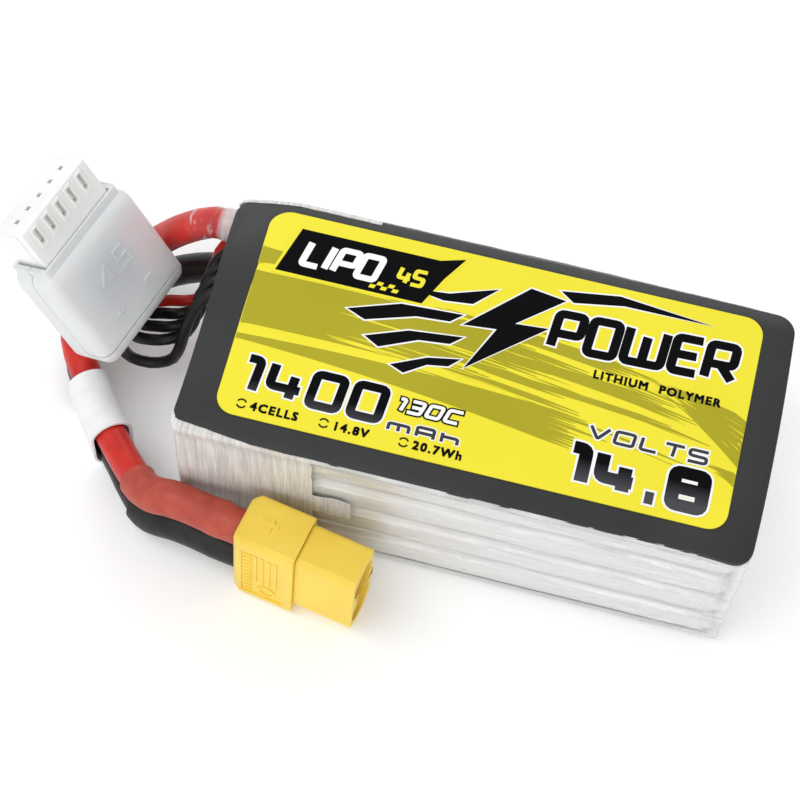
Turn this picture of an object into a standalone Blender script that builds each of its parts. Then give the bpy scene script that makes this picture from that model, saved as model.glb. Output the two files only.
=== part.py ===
"""A four-cell lithium polymer battery pack with its main leads, power connector and balance lead.

Metres, +Z up.  The origin is at the middle of the pack's underside.  +X runs along the pack, away
from the end that the leads leave, +Y runs across it, and the printed label faces +Z.
"""
import math

import bmesh
import bpy
from mathutils import Matrix, Vector

MM = 0.001
GAP = 0.3 * MM                      # clearance between pieces that touch

# ---- the pack --------------------------------------------------------------------------------
COVER_LENGTH = 78.0 * MM
COVER_WIDTH = 38.0 * MM
COVER_THICKNESS = 0.8 * MM
COVER_CORNER = 2.6 * MM
COVER_BOW = 0.4 * MM                # how far the plain end's edge bulges
LABEL_SIZE = (68.6 * MM, 32.6 * MM)
LABEL_CENTRE = (0.2 * MM, 1.0 * MM)
LABEL_THICKNESS = 0.2 * MM
LABEL_CORNER = 2.6 * MM

WRAP_HALF_WIDTH = 18.4 * MM
WRAP_HEIGHT = 27.15 * MM
WRAP_WALL = 0.2 * MM
WRAP_EDGE = 2.0 * MM                # radius along the pack's long edges
WRAP_TAIL_X = 38.7 * MM
WRAP_LEAD_X = -37.6 * MM
WRAP_LIP = 2.5 * MM                 # how far the film folds over the plain end

TAPE_X = (-38.4 * MM, -19.6 * MM)
TAPE_WALL = 0.15 * MM
TAPE_BOTTOM_Z = 2.0 * MM

BOARD_THICKNESS = 0.5 * MM
BOARD_X = (-34.8 * MM, 37.2 * MM)
BOARD_HALF_WIDTH = 17.2 * MM
CELL_COUNT = 4
CELL_X = (-29.5 * MM, 37.2 * MM)
CELL_TERRACE_X = -32.0 * MM         # end of the flat seal that the tabs come out of
CELL_HALF_WIDTH = 17.9 * MM
CELL_EDGE = 1.3 * MM
TERRACE_HALF = (16.5 * MM, 0.4 * MM)
SPACER_THICKNESS = 0.2 * MM
SPACER_X = (-25.0 * MM, 33.0 * MM)
SPACER_HALF_WIDTH = 13.0 * MM
TAB_THICKNESS = 0.4 * MM
TAB_WIDTH = 7.0 * MM
TAB_Y = 8.5 * MM
TAB_X = (-35.0 * MM, CELL_TERRACE_X - GAP)

PCB_X = (-36.1 * MM, -35.3 * MM)
PCB_HALF_WIDTH = 17.0 * MM
PCB_Z = (1.4 * MM, 26.2 * MM)
PCB_CHAMFER = 1.0 * MM
FOAM_X = (-38.9 * MM, -36.9 * MM)
FOAM_HALF_WIDTH = 17.2 * MM
FOAM_Z = (1.0 * MM, 26.4 * MM)
FOAM_NOTCH = (6.2 * MM, 9.8 * MM)  # lowest y and z of the corner that the leads pass through
TAIL_FOAM_X = (37.5 * MM, 38.2 * MM)
TAIL_FOAM_HALF_WIDTH = 16.0 * MM
TAIL_FOAM_Z = (1.5 * MM, 25.6 * MM)

# ---- the main leads --------------------------------------------------------------------------
LEAD_RADIUS = 2.25 * MM
SLEEVE_INNER = 2.55 * MM
SLEEVE_WALL = 0.25 * MM
LEAD_STACK = 4.9 * MM               # height between the leads where the white sleeve holds them

# ---- the power connector, in its own frame: x to the mating end, z across the two contacts ----
CONNECTOR_PLACE = (-28.0 * MM, -23.75 * MM, 8.75 * MM)
CONNECTOR_TURN = (-9.5, 1.2, -2.0)  # yaw, pitch and roll in degrees
CAP_LENGTH = 9.1 * MM
CAP_HALF = (3.9 * MM, 8.2 * MM)
CAP_CHAMFER = 1.3 * MM
CAP_BORE_RADIUS = 3.15 * MM
CAP_POCKET_X = 5.0 * MM
INSERT_END_X = 17.9 * MM
INSERT_HALF = (3.3 * MM, 7.5 * MM)
BLOCK_HALF = (2.7 * MM, 6.7 * MM)   # the housing's rear part, inside the cap
PIN_OFFSET = 3.6 * MM
CONTACT_RADIUS = 2.2 * MM
CONTACT_BORE_RADIUS = 1.7 * MM
CONTACT_X = (CAP_POCKET_X + GAP, 17.1 * MM)
SOCKET_DEPTH_X = 8.0 * MM

# ---- the balance plug, in its own frame: x to the mating end, z out of the face with windows ---
PLUG_PLACE = (-64.5 * MM, 6.5 * MM, 35.8 * MM)
PLUG_TURN = (167.3, -59.6, -4.9)
PLUG_LENGTH = 9.8 * MM
PLUG_HALF = (7.4 * MM, 2.875 * MM)
PITCH = 2.5 * MM
WAYS = 5
CAVITY_HALF = (0.85 * MM, 0.95 * MM)
CAVITY_X = (-PLUG_LENGTH - MM, MM)
WINDOW_X = (-3.4 * MM, -0.9 * MM)
WINDOW_HALF = 0.4 * MM
TERMINAL_X = (-8.8 * MM, -0.9 * MM)
TERMINAL_HALF = (0.5 * MM, 0.6 * MM)
CLIP_FRONT_X = -6.3 * MM
CLIP_BACK_X = -24.8 * MM            # the end that the wires go in through
CLIP_END_WALL = 1.8 * MM
CLIP_HALF = (9.3 * MM, 4.4 * MM)
CLIP_POCKET_X = -10.4 * MM
CLIP_CHAMBER_HALF = (8.0 * MM, 3.1 * MM)
CLIP_SLOT_HALF = (5.8 * MM, 1.3 * MM)

WIRE_RADIUS = 0.85 * MM
WIRE_STEP = 2.0 * MM               # spacing of the wires side by side outside the plug


# ---- materials -------------------------------------------------------------------------------
def material(name, colour, roughness, metallic=0.0):
    mat = bpy.data.materials.new(name)
    mat.use_nodes = True
    shader = mat.node_tree.nodes["Principled BSDF"]
    shader.inputs["Base Color"].default_value = (*colour, 1.0)
    shader.inputs["Roughness"].default_value = roughness
    shader.inputs["Metallic"].default_value = metallic
    mat.diffuse_color = (*colour, 1.0)
    return mat


# ---- solids ----------------------------------------------------------------------------------
def link(obj, mat, frame, cutter=False):
    """Put an object in the parts or the cutters, with its origin at its frame's."""
    bpy.data.collections["cutters" if cutter else "lipo_battery_pack"].objects.link(obj)
    obj.matrix_world = frame
    if cutter:
        obj.hide_render = True
        obj.display_type = "WIRE"
    else:
        obj.data.materials.append(mat)
    return obj


def mesh_object(name, bm, mat=None, frame=Matrix(), cutter=False):
    mesh = bpy.data.meshes.new(name)
    bm.to_mesh(mesh)
    bm.free()
    return link(bpy.data.objects.new(name, mesh), mat, frame, cutter)


def box(name, low, high, mat=None, frame=Matrix(), edge=0.0, segments=2, along=None, cutter=False):
    """A box between two corners; its edges are rounded, or only those along one axis."""
    bm = bmesh.new()
    low, high = Vector(low), Vector(high)
    size = Matrix.Diagonal((*(high - low), 1.0))
    bmesh.ops.create_cube(bm, size=1.0, matrix=Matrix.Translation((low + high) / 2) @ size)
    if edge:
        edges = [e for e in bm.edges if along is None or edge_runs_along(e, along)]
        bmesh.ops.bevel(bm, geom=edges, offset=edge, segments=segments, profile=0.5, affect="EDGES")
    return mesh_object(name, bm, mat, frame, cutter)


def edge_runs_along(edge, axis):
    run = edge.verts[1].co - edge.verts[0].co
    return abs(run[axis]) > 0.9 * run.length


def cylinder_cutter(name, start_x, end_x, radius, centre, frame):
    """A round cutter along its frame's x."""
    bm = bmesh.new()
    place = Matrix.Translation(((start_x + end_x) / 2, *centre)) @ Matrix.Rotation(math.pi / 2, 4, "Y")
    bmesh.ops.create_cone(bm, cap_ends=True, segments=24, radius1=radius, radius2=radius,
                          depth=end_x - start_x, matrix=place)
    return mesh_object(name, bm, frame=frame, cutter=True)


def combine(obj, tool, operation="DIFFERENCE"):
    modifier = obj.modifiers.new(operation.lower(), "BOOLEAN")
    modifier.operation = operation
    modifier.object = tool
    modifier.solver = "EXACT"
    return obj


def plate(name, outline, thickness, frame, mat):
    """A flat piece: an outline in its frame's x and y, half its thickness to each side of z = 0."""
    curve = bpy.data.curves.new(name, "CURVE")
    curve.dimensions = "2D"
    curve.fill_mode = "BOTH"
    curve.extrude = thickness / 2
    spline = curve.splines.new("POLY")
    spline.points.add(len(outline) - 1)
    for point, (x, y) in zip(spline.points, outline):
        point.co = (x, y, 0.0, 1.0)
    spline.use_cyclic_u = True
    return link(bpy.data.objects.new(name, curve), mat, frame)


def rounded_outline(size, radius, bow=0.0, steps=6):
    """A rectangle with round corners, whose edge on the +x side may bulge."""
    half_x, half_y = size[0] / 2, size[1] / 2
    outline = []
    for quarter, (sx, sy) in enumerate(((1, 1), (-1, 1), (-1, -1), (1, -1))):
        for step in range(steps + 1):
            angle = (quarter + step / steps) * math.pi / 2
            x = sx * (half_x - radius) + radius * math.cos(angle)
            y = sy * (half_y - radius) + radius * math.sin(angle)
            outline.append((x, y))
    if bow:
        outline = [(x - bow * (y / half_y) ** 2 if x > 0 else x, y) for x, y in outline]
        middle = [(half_x - bow * (t / 6) ** 2, half_y * t / 6) for t in range(-4, 5)]
        outline += middle
    return outline


def tube(name, points, radius, mat, resolution=2, wall=0.0):
    """A round tube along points; with a wall it is hollow, and radius is its inner one."""
    curve = bpy.data.curves.new(name, "CURVE")
    curve.dimensions = "3D"
    curve.bevel_depth = radius
    curve.bevel_resolution = resolution
    curve.use_fill_caps = not wall
    spline = curve.splines.new("POLY")
    spline.points.add(len(points) - 1)
    for point, place in zip(spline.points, points):
        point.co = (*place, 1.0)
    spline.use_smooth = True
    obj = link(bpy.data.objects.new(name, curve), mat, Matrix())
    if wall:
        solidify = obj.modifiers.new("wall", "SOLIDIFY")
        solidify.thickness = wall
        solidify.offset = 1.0
    return obj


# ---- routes ----------------------------------------------------------------------------------
def smooth_route(points, spacing):
    """Points at even spacing along a smooth curve through the given ones."""
    points = [Vector(p) for p in points]
    ends = [2 * points[0] - points[1], *points, 2 * points[-1] - points[-2]]
    fine = [points[0]]
    for before, start, end, after in zip(ends, ends[1:], ends[2:], ends[3:]):
        for step in range(1, 21):
            fine.append(catmull_rom(before, start, end, after, step / 20))
    lengths = [0.0]
    for a, b in zip(fine, fine[1:]):
        lengths.append(lengths[-1] + (b - a).length)
    count = max(3, round(lengths[-1] / spacing))
    route, index = [], 0
    for step in range(count + 1):
        target = lengths[-1] * step / count
        while index < len(fine) - 2 and lengths[index + 1] < target:
            index += 1
        part = (target - lengths[index]) / (lengths[index + 1] - lengths[index])
        route.append(fine[index].lerp(fine[index + 1], part))
    return route


def catmull_rom(before, start, end, after, t):
    """A point between start and end, with knots spaced by the square root of the distance."""
    knots = [0.0]
    for a, b in ((before, start), (start, end), (end, after)):
        knots.append(knots[-1] + math.sqrt((b - a).length))
    t = knots[1] + t * (knots[2] - knots[1])

    def blend(a, b, low, high):
        return a + (b - a) * ((t - low) / (high - low))

    first = blend(before, start, knots[0], knots[1])
    second = blend(start, end, knots[1], knots[2])
    third = blend(end, after, knots[2], knots[3])
    left = blend(first, second, knots[0], knots[2])
    right = blend(second, third, knots[1], knots[3])
    return blend(left, right, knots[1], knots[2])


def frame_at(place, turn):
    yaw, pitch, roll = (math.radians(angle) for angle in turn)
    spin = Matrix.Rotation(yaw, 4, "Z") @ Matrix.Rotation(pitch, 4, "Y") @ Matrix.Rotation(roll, 4, "X")
    return Matrix.Translation(place) @ spin


# ---- the pack --------------------------------------------------------------------------------
def build_cells(mats):
    """Pouch cells with tape between them, on a stiff board; returns each cell's mid height."""
    floor_z = WRAP_WALL + GAP
    box("bottom_board", (BOARD_X[0], -BOARD_HALF_WIDTH, floor_z),
        (BOARD_X[1], BOARD_HALF_WIDTH, floor_z + BOARD_THICKNESS), mats["board"])
    first_z = floor_z + BOARD_THICKNESS + GAP
    top_z = WRAP_HEIGHT - WRAP_WALL - GAP
    between = SPACER_THICKNESS + 2 * GAP
    thickness = (top_z - first_z - (CELL_COUNT - 1) * between) / CELL_COUNT
    middles = []
    for index in range(CELL_COUNT):
        low_z = first_z + index * (thickness + between)
        mid_z = low_z + thickness / 2
        middles.append(mid_z)
        cell = box(f"cell_{index + 1}", (CELL_X[0], -CELL_HALF_WIDTH, low_z),
                   (CELL_X[1], CELL_HALF_WIDTH, low_z + thickness), mats["pouch"], edge=CELL_EDGE)
        terrace_y, terrace_z = TERRACE_HALF
        terrace = box(f"terrace_{index + 1}", (CELL_TERRACE_X, -terrace_y, mid_z - terrace_z),
                      (CELL_X[0] + 2 * MM, terrace_y, mid_z + terrace_z), cutter=True)
        combine(cell, terrace, "UNION")
        if index < CELL_COUNT - 1:
            spacer_z = low_z + thickness + GAP
            box(f"cell_spacer_{index + 1}", (SPACER_X[0], -SPACER_HALF_WIDTH, spacer_z),
                (SPACER_X[1], SPACER_HALF_WIDTH, spacer_z + SPACER_THICKNESS), mats["foam"])
    return middles


def build_tabs(mats, middles):
    """Tabs alternate from side to side, so each link joins one cell to the next above it."""
    inner_x, outer_x = TAB_X[1], TAB_X[0]
    half = TAB_WIDTH / 2
    t = TAB_THICKNESS / 2
    for name, z in (("negative_tab", middles[0]), ("positive_tab", middles[-1])):
        box(name, (outer_x, -TAB_Y - half, z - t), (inner_x, -TAB_Y + half, z + t), mats["tab"])
    for index, (low_z, high_z) in enumerate(zip(middles, middles[1:])):
        side = 1 if index % 2 == 0 else -1
        outline = [(inner_x, low_z - t), (inner_x, low_z + t), (outer_x + 2 * t, low_z + t),
                   (outer_x + 2 * t, high_z - t), (inner_x, high_z - t), (inner_x, high_z + t),
                   (outer_x, high_z + t), (outer_x, low_z - t)]
        upright = Matrix.Translation((0, side * TAB_Y, 0)) @ Matrix.Rotation(math.pi / 2, 4, "X")
        plate(f"series_link_{index + 1}", outline, TAB_WIDTH, upright, mats["copper"])


def build_ends(mats):
    """The balance board and the foam at the lead end, and the foam at the plain end."""
    across = Matrix(((0, 0, 1, 0), (1, 0, 0, 0), (0, 1, 0, 0), (0, 0, 0, 1)))
    y, (low_z, high_z), c = PCB_HALF_WIDTH, PCB_Z, PCB_CHAMFER
    board_outline = [(c - y, low_z), (y - c, low_z), (y, low_z + c), (y, high_z - c),
                     (y - c, high_z), (c - y, high_z), (-y, high_z - c), (-y, low_z + c)]
    plate("balance_board", board_outline, PCB_X[1] - PCB_X[0],
          Matrix.Translation(((PCB_X[0] + PCB_X[1]) / 2, 0, 0)) @ across, mats["pcb"])
    low_z, high_z = FOAM_Z
    notch_y, notch_z = FOAM_NOTCH
    foam_outline = [(-FOAM_HALF_WIDTH, low_z), (FOAM_HALF_WIDTH, low_z), (FOAM_HALF_WIDTH, notch_z),
                    (notch_y, notch_z), (notch_y, high_z), (-FOAM_HALF_WIDTH, high_z)]
    plate("lead_end_foam", foam_outline, FOAM_X[1] - FOAM_X[0],
          Matrix.Translation(((FOAM_X[0] + FOAM_X[1]) / 2, 0, 0)) @ across, mats["foam"])
    box("tail_foam", (TAIL_FOAM_X[0], -TAIL_FOAM_HALF_WIDTH, TAIL_FOAM_Z[0]),
        (TAIL_FOAM_X[1], TAIL_FOAM_HALF_WIDTH, TAIL_FOAM_Z[1]), mats["foam"])


def build_wrap(mats):
    """A shrink film sleeve, open at the lead end and folded over the plain end."""
    wrap = box("shrink_wrap", (WRAP_LEAD_X, -WRAP_HALF_WIDTH, 0), (WRAP_TAIL_X, WRAP_HALF_WIDTH, WRAP_HEIGHT),
               mats["film"], edge=WRAP_EDGE, segments=4, along=0)
    inner = WRAP_HALF_WIDTH - WRAP_WALL
    cavity = box("wrap_cavity", (WRAP_LEAD_X - MM, -inner, WRAP_WALL),
                 (WRAP_TAIL_X - WRAP_WALL, inner, WRAP_HEIGHT - WRAP_WALL),
                 edge=WRAP_EDGE - WRAP_WALL, segments=4, along=0, cutter=True)
    mouth = box("wrap_mouth", (0, -inner + WRAP_LIP, WRAP_WALL + WRAP_LIP),
                (WRAP_TAIL_X + MM, inner - WRAP_LIP, WRAP_HEIGHT - WRAP_WALL - WRAP_LIP), cutter=True)
    combine(combine(wrap, cavity), mouth)


def build_tape(mats):
    """Filament tape laid over the wrapped cells at the lead end, under the cover."""
    inner_y = WRAP_HALF_WIDTH + GAP
    inner_z = WRAP_HEIGHT + GAP
    tape = box("strapping_tape", (TAPE_X[0], -inner_y - TAPE_WALL, -10 * MM),
               (TAPE_X[1], inner_y + TAPE_WALL, inner_z + TAPE_WALL),
               mats["tape"], edge=WRAP_EDGE + GAP + TAPE_WALL, segments=4, along=0)
    inside = box("tape_inside", (TAPE_X[0] - MM, -inner_y, -11 * MM), (TAPE_X[1] + MM, inner_y, inner_z),
                 edge=WRAP_EDGE + GAP, segments=4, along=0, cutter=True)
    below = box("tape_below", (TAPE_X[0] - MM, -30 * MM, -12 * MM), (TAPE_X[1] + MM, 30 * MM, TAPE_BOTTOM_Z),
                cutter=True)
    combine(combine(tape, inside), below)


def build_cover(mats):
    """The stiff cover that lies over the film, and the printed label on it."""
    cover_z = WRAP_HEIGHT + TAPE_WALL + 2 * GAP
    plate("top_cover", rounded_outline((COVER_LENGTH, COVER_WIDTH), COVER_CORNER, COVER_BOW), COVER_THICKNESS,
          Matrix.Translation((0, 0, cover_z + COVER_THICKNESS / 2)), mats["cover"])
    label_z = cover_z + COVER_THICKNESS + GAP
    plate("printed_label", rounded_outline(LABEL_SIZE, LABEL_CORNER), LABEL_THICKNESS,
          Matrix.Translation((*LABEL_CENTRE, label_z + LABEL_THICKNESS / 2)), mats["label"])


# ---- the main leads and the power connector ---------------------------------------------------
RED_ROUTE = ((-36.6, 15.6, 24.4), (-39.0, 15.6, 24.4), (-43.2, 16.0, 23.6), (-47.8, 16.3, 19.7),
             (-52.3, 16.6, 14.0), (-57.1, 14.1, 9.8), (-60.7, 9.0, 8.6), (-61.2, 3.6, 8.3),
             (-59.5, -0.8, 8.0), (-57.0, -4.3, 7.9), (-55.1, -7.0, 7.85), (-53.1, -9.8, 7.85),
             (-50.9, -12.4, 7.85), (-48.7, -14.8, 8.0), (-45.8, -17.9, 8.9), (-42.3, -21.1, 10.8))
BLACK_ROUTE = ((-36.6, 15.2, 13.0), (-39.0, 15.2, 13.0), (-43.0, 16.3, 11.1), (-47.2, 16.7, 8.6),
               (-52.0, 15.9, 5.9), (-56.8, 13.3, 3.7), (-60.4, 8.8, 3.1), (-61.0, 3.6, 2.95),
               (-59.4, -0.8, 2.95), (-57.0, -4.3, 2.95), (-55.1, -7.0, 2.95), (-53.1, -9.8, 2.95),
               (-50.9, -12.4, 2.95), (-48.7, -14.8, 2.95), (-45.9, -18.1, 3.0), (-42.4, -21.3, 3.9))
LEAD_STEP = 4.5 * MM
SHRINK_POINTS = 6
SHRINK_END_X = 4.6 * MM
WHITE_SLEEVE = ((-56.5, -5.0), (-55.1, -7.0), (-53.1, -9.8), (-50.7, -12.6))
WHITE_SLEEVE_Z = 2.95 * MM          # height of the lower lead's middle there


def lead_points(route, connector, side):
    """A lead's route in metres: its free part, then straight along the connector's axis."""
    points = [Vector(p) * MM for p in route]
    for x in (-10.0, -6.5, -3.0, 1.0, 5.0):
        points.append(connector @ Vector((x * MM, 0, side * PIN_OFFSET)))
    return points


def build_leads(mats, connector):
    """Each lead, and the heat-shrink tube over its far end."""
    for colour, route, side in (("red", RED_ROUTE, 1), ("black", BLACK_ROUTE, -1)):
        points = smooth_route(lead_points(route, connector, side), LEAD_STEP)
        tube(f"main_lead_{colour}", points, LEAD_RADIUS, mats[colour], resolution=3)
        sleeve_end = connector @ Vector((SHRINK_END_X, 0, side * PIN_OFFSET))
        tube(f"heat_shrink_{colour}", points[-SHRINK_POINTS:-1] + [sleeve_end], SLEEVE_INNER,
             mats[f"shrink_{colour}"], resolution=3, wall=SLEEVE_WALL)


def build_white_sleeve(mats):
    """An oval sleeve round both leads, one above the other."""
    route = smooth_route([(x * MM, y * MM, WHITE_SLEEVE_Z) for x, y in WHITE_SLEEVE], 2.5 * MM)
    ring = []
    for start_angle, height in ((0, LEAD_STACK), (math.pi, 0)):
        for step in range(8):
            angle = start_angle + math.pi * step / 7
            ring.append((SLEEVE_INNER * math.cos(angle), height + SLEEVE_INNER * math.sin(angle)))
    bm = bmesh.new()
    rows = []
    for index, place in enumerate(route):
        run = route[min(index + 1, len(route) - 1)] - route[max(index - 1, 0)]
        across = Vector((-run.y, run.x, 0)).normalized()
        rows.append([bm.verts.new(place + across * u + Vector((0, 0, v))) for u, v in ring])
    for row, following in zip(rows, rows[1:]):
        for index in range(len(ring)):
            after = (index + 1) % len(ring)
            bm.faces.new((row[index], row[after], following[after], following[index]))
    bmesh.ops.recalc_face_normals(bm, faces=bm.faces)
    sleeve = mesh_object("white_sleeve", bm, mats["white"])
    sleeve.data.shade_smooth()
    solidify = sleeve.modifiers.new("wall", "SOLIDIFY")
    solidify.thickness = SLEEVE_WALL
    solidify.offset = 1.0


def build_connector(mats, frame):
    """A cap that slides back along the leads, and a housing with two round contacts."""
    half_y, half_z = CAP_HALF
    cap = box("connector_cap", (0, -half_y, -half_z), (CAP_LENGTH, half_y, half_z), mats["yellow"], frame,
              edge=0.5 * MM)
    for sign in (-1, 1):
        combine(cap, chamfer_tool(f"cap_chamfer_side_{sign}", half_y, sign, False, frame))
        combine(cap, chamfer_tool(f"cap_chamfer_end_{sign}", half_z, sign, True, frame))
        bore = cylinder_cutter(f"cap_bore_{sign}", -MM, CAP_POCKET_X + 0.5 * MM, CAP_BORE_RADIUS,
                               (0, sign * PIN_OFFSET), frame)
        combine(cap, bore)
    pocket_y, pocket_z = BLOCK_HALF[0] + GAP, BLOCK_HALF[1] + GAP
    combine(cap, box("cap_pocket", (CAP_POCKET_X, -pocket_y, -pocket_z),
                     (CAP_LENGTH + MM, pocket_y, pocket_z), frame=frame, cutter=True))

    insert_x = CAP_LENGTH + GAP
    housing = box("connector_housing", (insert_x, -INSERT_HALF[0], -INSERT_HALF[1]),
                  (INSERT_END_X, INSERT_HALF[0], INSERT_HALF[1]), mats["yellow"], frame,
                  edge=1.0 * MM, along=0, segments=3)
    block = box("housing_block", (CAP_POCKET_X + GAP, -BLOCK_HALF[0], -BLOCK_HALF[1]),
                (insert_x + MM, BLOCK_HALF[0], BLOCK_HALF[1]), frame=frame, cutter=True)
    combine(housing, block, "UNION")
    for sign in (-1, 1):
        hole = cylinder_cutter(f"housing_bore_{sign}", CAP_POCKET_X - MM, INSERT_END_X + MM,
                               CONTACT_RADIUS + GAP, (0, sign * PIN_OFFSET), frame)
        combine(housing, hole)
    for name, sign in (("contact_positive", 1), ("contact_negative", -1)):
        build_contact(name, mats["gold"], frame @ Matrix.Translation((0, 0, sign * PIN_OFFSET)))


def chamfer_tool(name, half, sign, upright, frame):
    """A box turned by 45 degrees that cuts one rear edge of the cap."""
    reach = 12 * MM                     # past the cap on both sides
    size = CAP_CHAMFER * math.sqrt(2)
    turn = Matrix.Rotation(math.radians(45), 4, "Y" if upright else "Z")
    shift = (0, 0, sign * half) if upright else (0, sign * half, 0)
    low = (-size / 2, -reach, -size / 2) if upright else (-size / 2, -size / 2, -reach)
    high = (size / 2, reach, size / 2) if upright else (size / 2, size / 2, reach)
    return box(name, low, high, frame=frame @ Matrix.Translation(shift) @ turn, cutter=True)


def build_contact(name, mat, frame):
    """A turned socket: open at the mating end, solid where the lead is soldered on."""
    rear, front = CONTACT_X
    profile = [(0, rear), (CONTACT_RADIUS, rear), (CONTACT_RADIUS, front), (CONTACT_BORE_RADIUS, front),
               (CONTACT_BORE_RADIUS, SOCKET_DEPTH_X), (0, SOCKET_DEPTH_X)]
    bm = bmesh.new()
    verts = [bm.verts.new((radius, 0, -height)) for radius, height in profile]
    for a, b in zip(verts, verts[1:]):
        bm.edges.new((a, b))
    contact = mesh_object(name, bm, mat, frame @ Matrix.Rotation(-math.pi / 2, 4, "Y"))
    screw = contact.modifiers.new("turn", "SCREW")
    screw.steps = 20
    screw.render_steps = 20
    screw.use_merge_vertices = True
    screw.merge_threshold = 0.00001
    return contact


# ---- the balance lead --------------------------------------------------------------------------
def plug_contact_y(way):
    """Where a way lies across the plug."""
    return (WAYS - 1 - 2 * way) * PITCH / 2


def build_plug(mats, frame):
    half_y, half_z = PLUG_HALF
    housing = box("balance_plug", (-PLUG_LENGTH, -half_y, -half_z), (0, half_y, half_z), mats["nylon"], frame,
                  edge=0.25 * MM, segments=1)
    for way in range(WAYS):
        y = plug_contact_y(way)
        cavity = box(f"cavity_{way}", (CAVITY_X[0], y - CAVITY_HALF[0], -CAVITY_HALF[1]),
                     (CAVITY_X[1], y + CAVITY_HALF[0], CAVITY_HALF[1]), frame=frame, cutter=True)
        window = box(f"window_{way}", (WINDOW_X[0], y - WINDOW_HALF, 0),
                     (WINDOW_X[1], y + WINDOW_HALF, half_z + MM), frame=frame, cutter=True)
        combine(combine(housing, cavity), window)
        box(f"balance_contact_{way + 1}", (TERMINAL_X[0], y - TERMINAL_HALF[0], -TERMINAL_HALF[1]),
            (TERMINAL_X[1], y + TERMINAL_HALF[0], TERMINAL_HALF[1]), mats["tin"], frame)


def build_clip(mats, frame):
    """A two-piece grip round the plug: a tray with the wires' end wall, and a cover that lifts off."""
    half_y, half_z = CLIP_HALF
    wall_x = CLIP_BACK_X + CLIP_END_WALL
    split = GAP / 2
    tray = box("clip_tray", (CLIP_BACK_X, -half_y, -half_z), (CLIP_FRONT_X, half_y, half_z), mats["frosted"],
               frame, edge=0.9 * MM)
    lid = box("clip_cover", (wall_x + GAP, -half_y, split), (CLIP_FRONT_X, half_y, half_z), mats["frosted"],
              frame, edge=0.9 * MM)
    combine(tray, box("tray_open", (wall_x, -2 * half_y, -split), (0, 2 * half_y, 2 * half_z),
                      frame=frame, cutter=True))
    pocket_y, pocket_z = PLUG_HALF[0] + GAP, PLUG_HALF[1] + GAP
    pocket = box("clip_pocket", (CLIP_POCKET_X, -pocket_y, -pocket_z), (0, pocket_y, pocket_z),
                 frame=frame, cutter=True)
    chamber = box("clip_chamber", (wall_x, -CLIP_CHAMBER_HALF[0], -CLIP_CHAMBER_HALF[1]),
                  (CLIP_POCKET_X + MM / 10, *CLIP_CHAMBER_HALF), frame=frame, cutter=True)
    slot = box("clip_slot", (CLIP_BACK_X - MM, -CLIP_SLOT_HALF[0], -CLIP_SLOT_HALF[1]),
               (wall_x + MM / 10, *CLIP_SLOT_HALF), frame=frame, cutter=True)
    combine(combine(combine(tray, pocket), chamber), slot)
    combine(combine(lid, pocket), chamber)


WIRE_ROUTE = ((-36.4, 12.2, 20.3), (-39.0, 12.2, 20.3), (-41.3, 11.4, 19.6), (-42.7, 10.2, 18.0),
              (-43.2, 8.8, 15.6), (-43.4, 7.9, 13.2), (-44.4, 6.9, 10.8), (-47.2, 5.9, 9.3),
              (-49.6, 4.8, 10.2))
LONG_WIRE = 0
LONG_WIRE_ROUTE = ((-36.4, 8.2, 20.3), (-39.0, 8.1, 20.3), (-41.5, 6.7, 19.5), (-43.4, 5.0, 17.0),
                   (-44.4, 3.2, 13.6), (-45.0, 2.2, 10.4), (-46.2, 1.5, 7.6), (-49.1, 0.9, 6.3),
                   (-51.9, 0.4, 7.5), (-53.0, 0.1, 10.6))


def ribbon_offset(before, after, side, aside):
    """How far a wire lies along side, so that it is the given distance from the middle wire's run."""
    run = (after - before).normalized()
    return side * (aside / (side - side.dot(run) * run).length)


def build_wires(mats, plug_frame):
    """Five wires side by side, from the balance board to the plug; one hangs in a longer loop."""
    plug_side = -(plug_frame.to_3x3() @ Vector((0, 1, 0)))
    middle = [Vector(place) * MM for place in WIRE_ROUTE]
    middle += [plug_frame @ Vector((x * MM, 0, 0)) for x in (-27.0, -24.8)]
    for way in range(WAYS):
        aside = (way - (WAYS - 1) / 2) * WIRE_STEP
        points = [middle[0] + Vector((0, aside, 0))]
        for index in range(1, len(middle) - 1):
            side = Vector((0, 1, 0)).lerp(plug_side, index / len(middle))
            points.append(middle[index] + ribbon_offset(middle[index - 1], middle[index + 1], side, aside))
        if way == LONG_WIRE:
            points = [Vector(place) * MM for place in LONG_WIRE_ROUTE]
        for x, y in ((-25.0, -aside), (-21.5, -aside), (-14.0, plug_contact_y(way)),
                     (-10.1, plug_contact_y(way))):
            points.append(plug_frame @ Vector((x * MM, y, 0)))
        colour = "red" if way == WAYS - 1 else "black"
        tube(f"balance_wire_{way + 1}", smooth_route(points, 2.2 * MM), WIRE_RADIUS, mats[colour])


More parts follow.
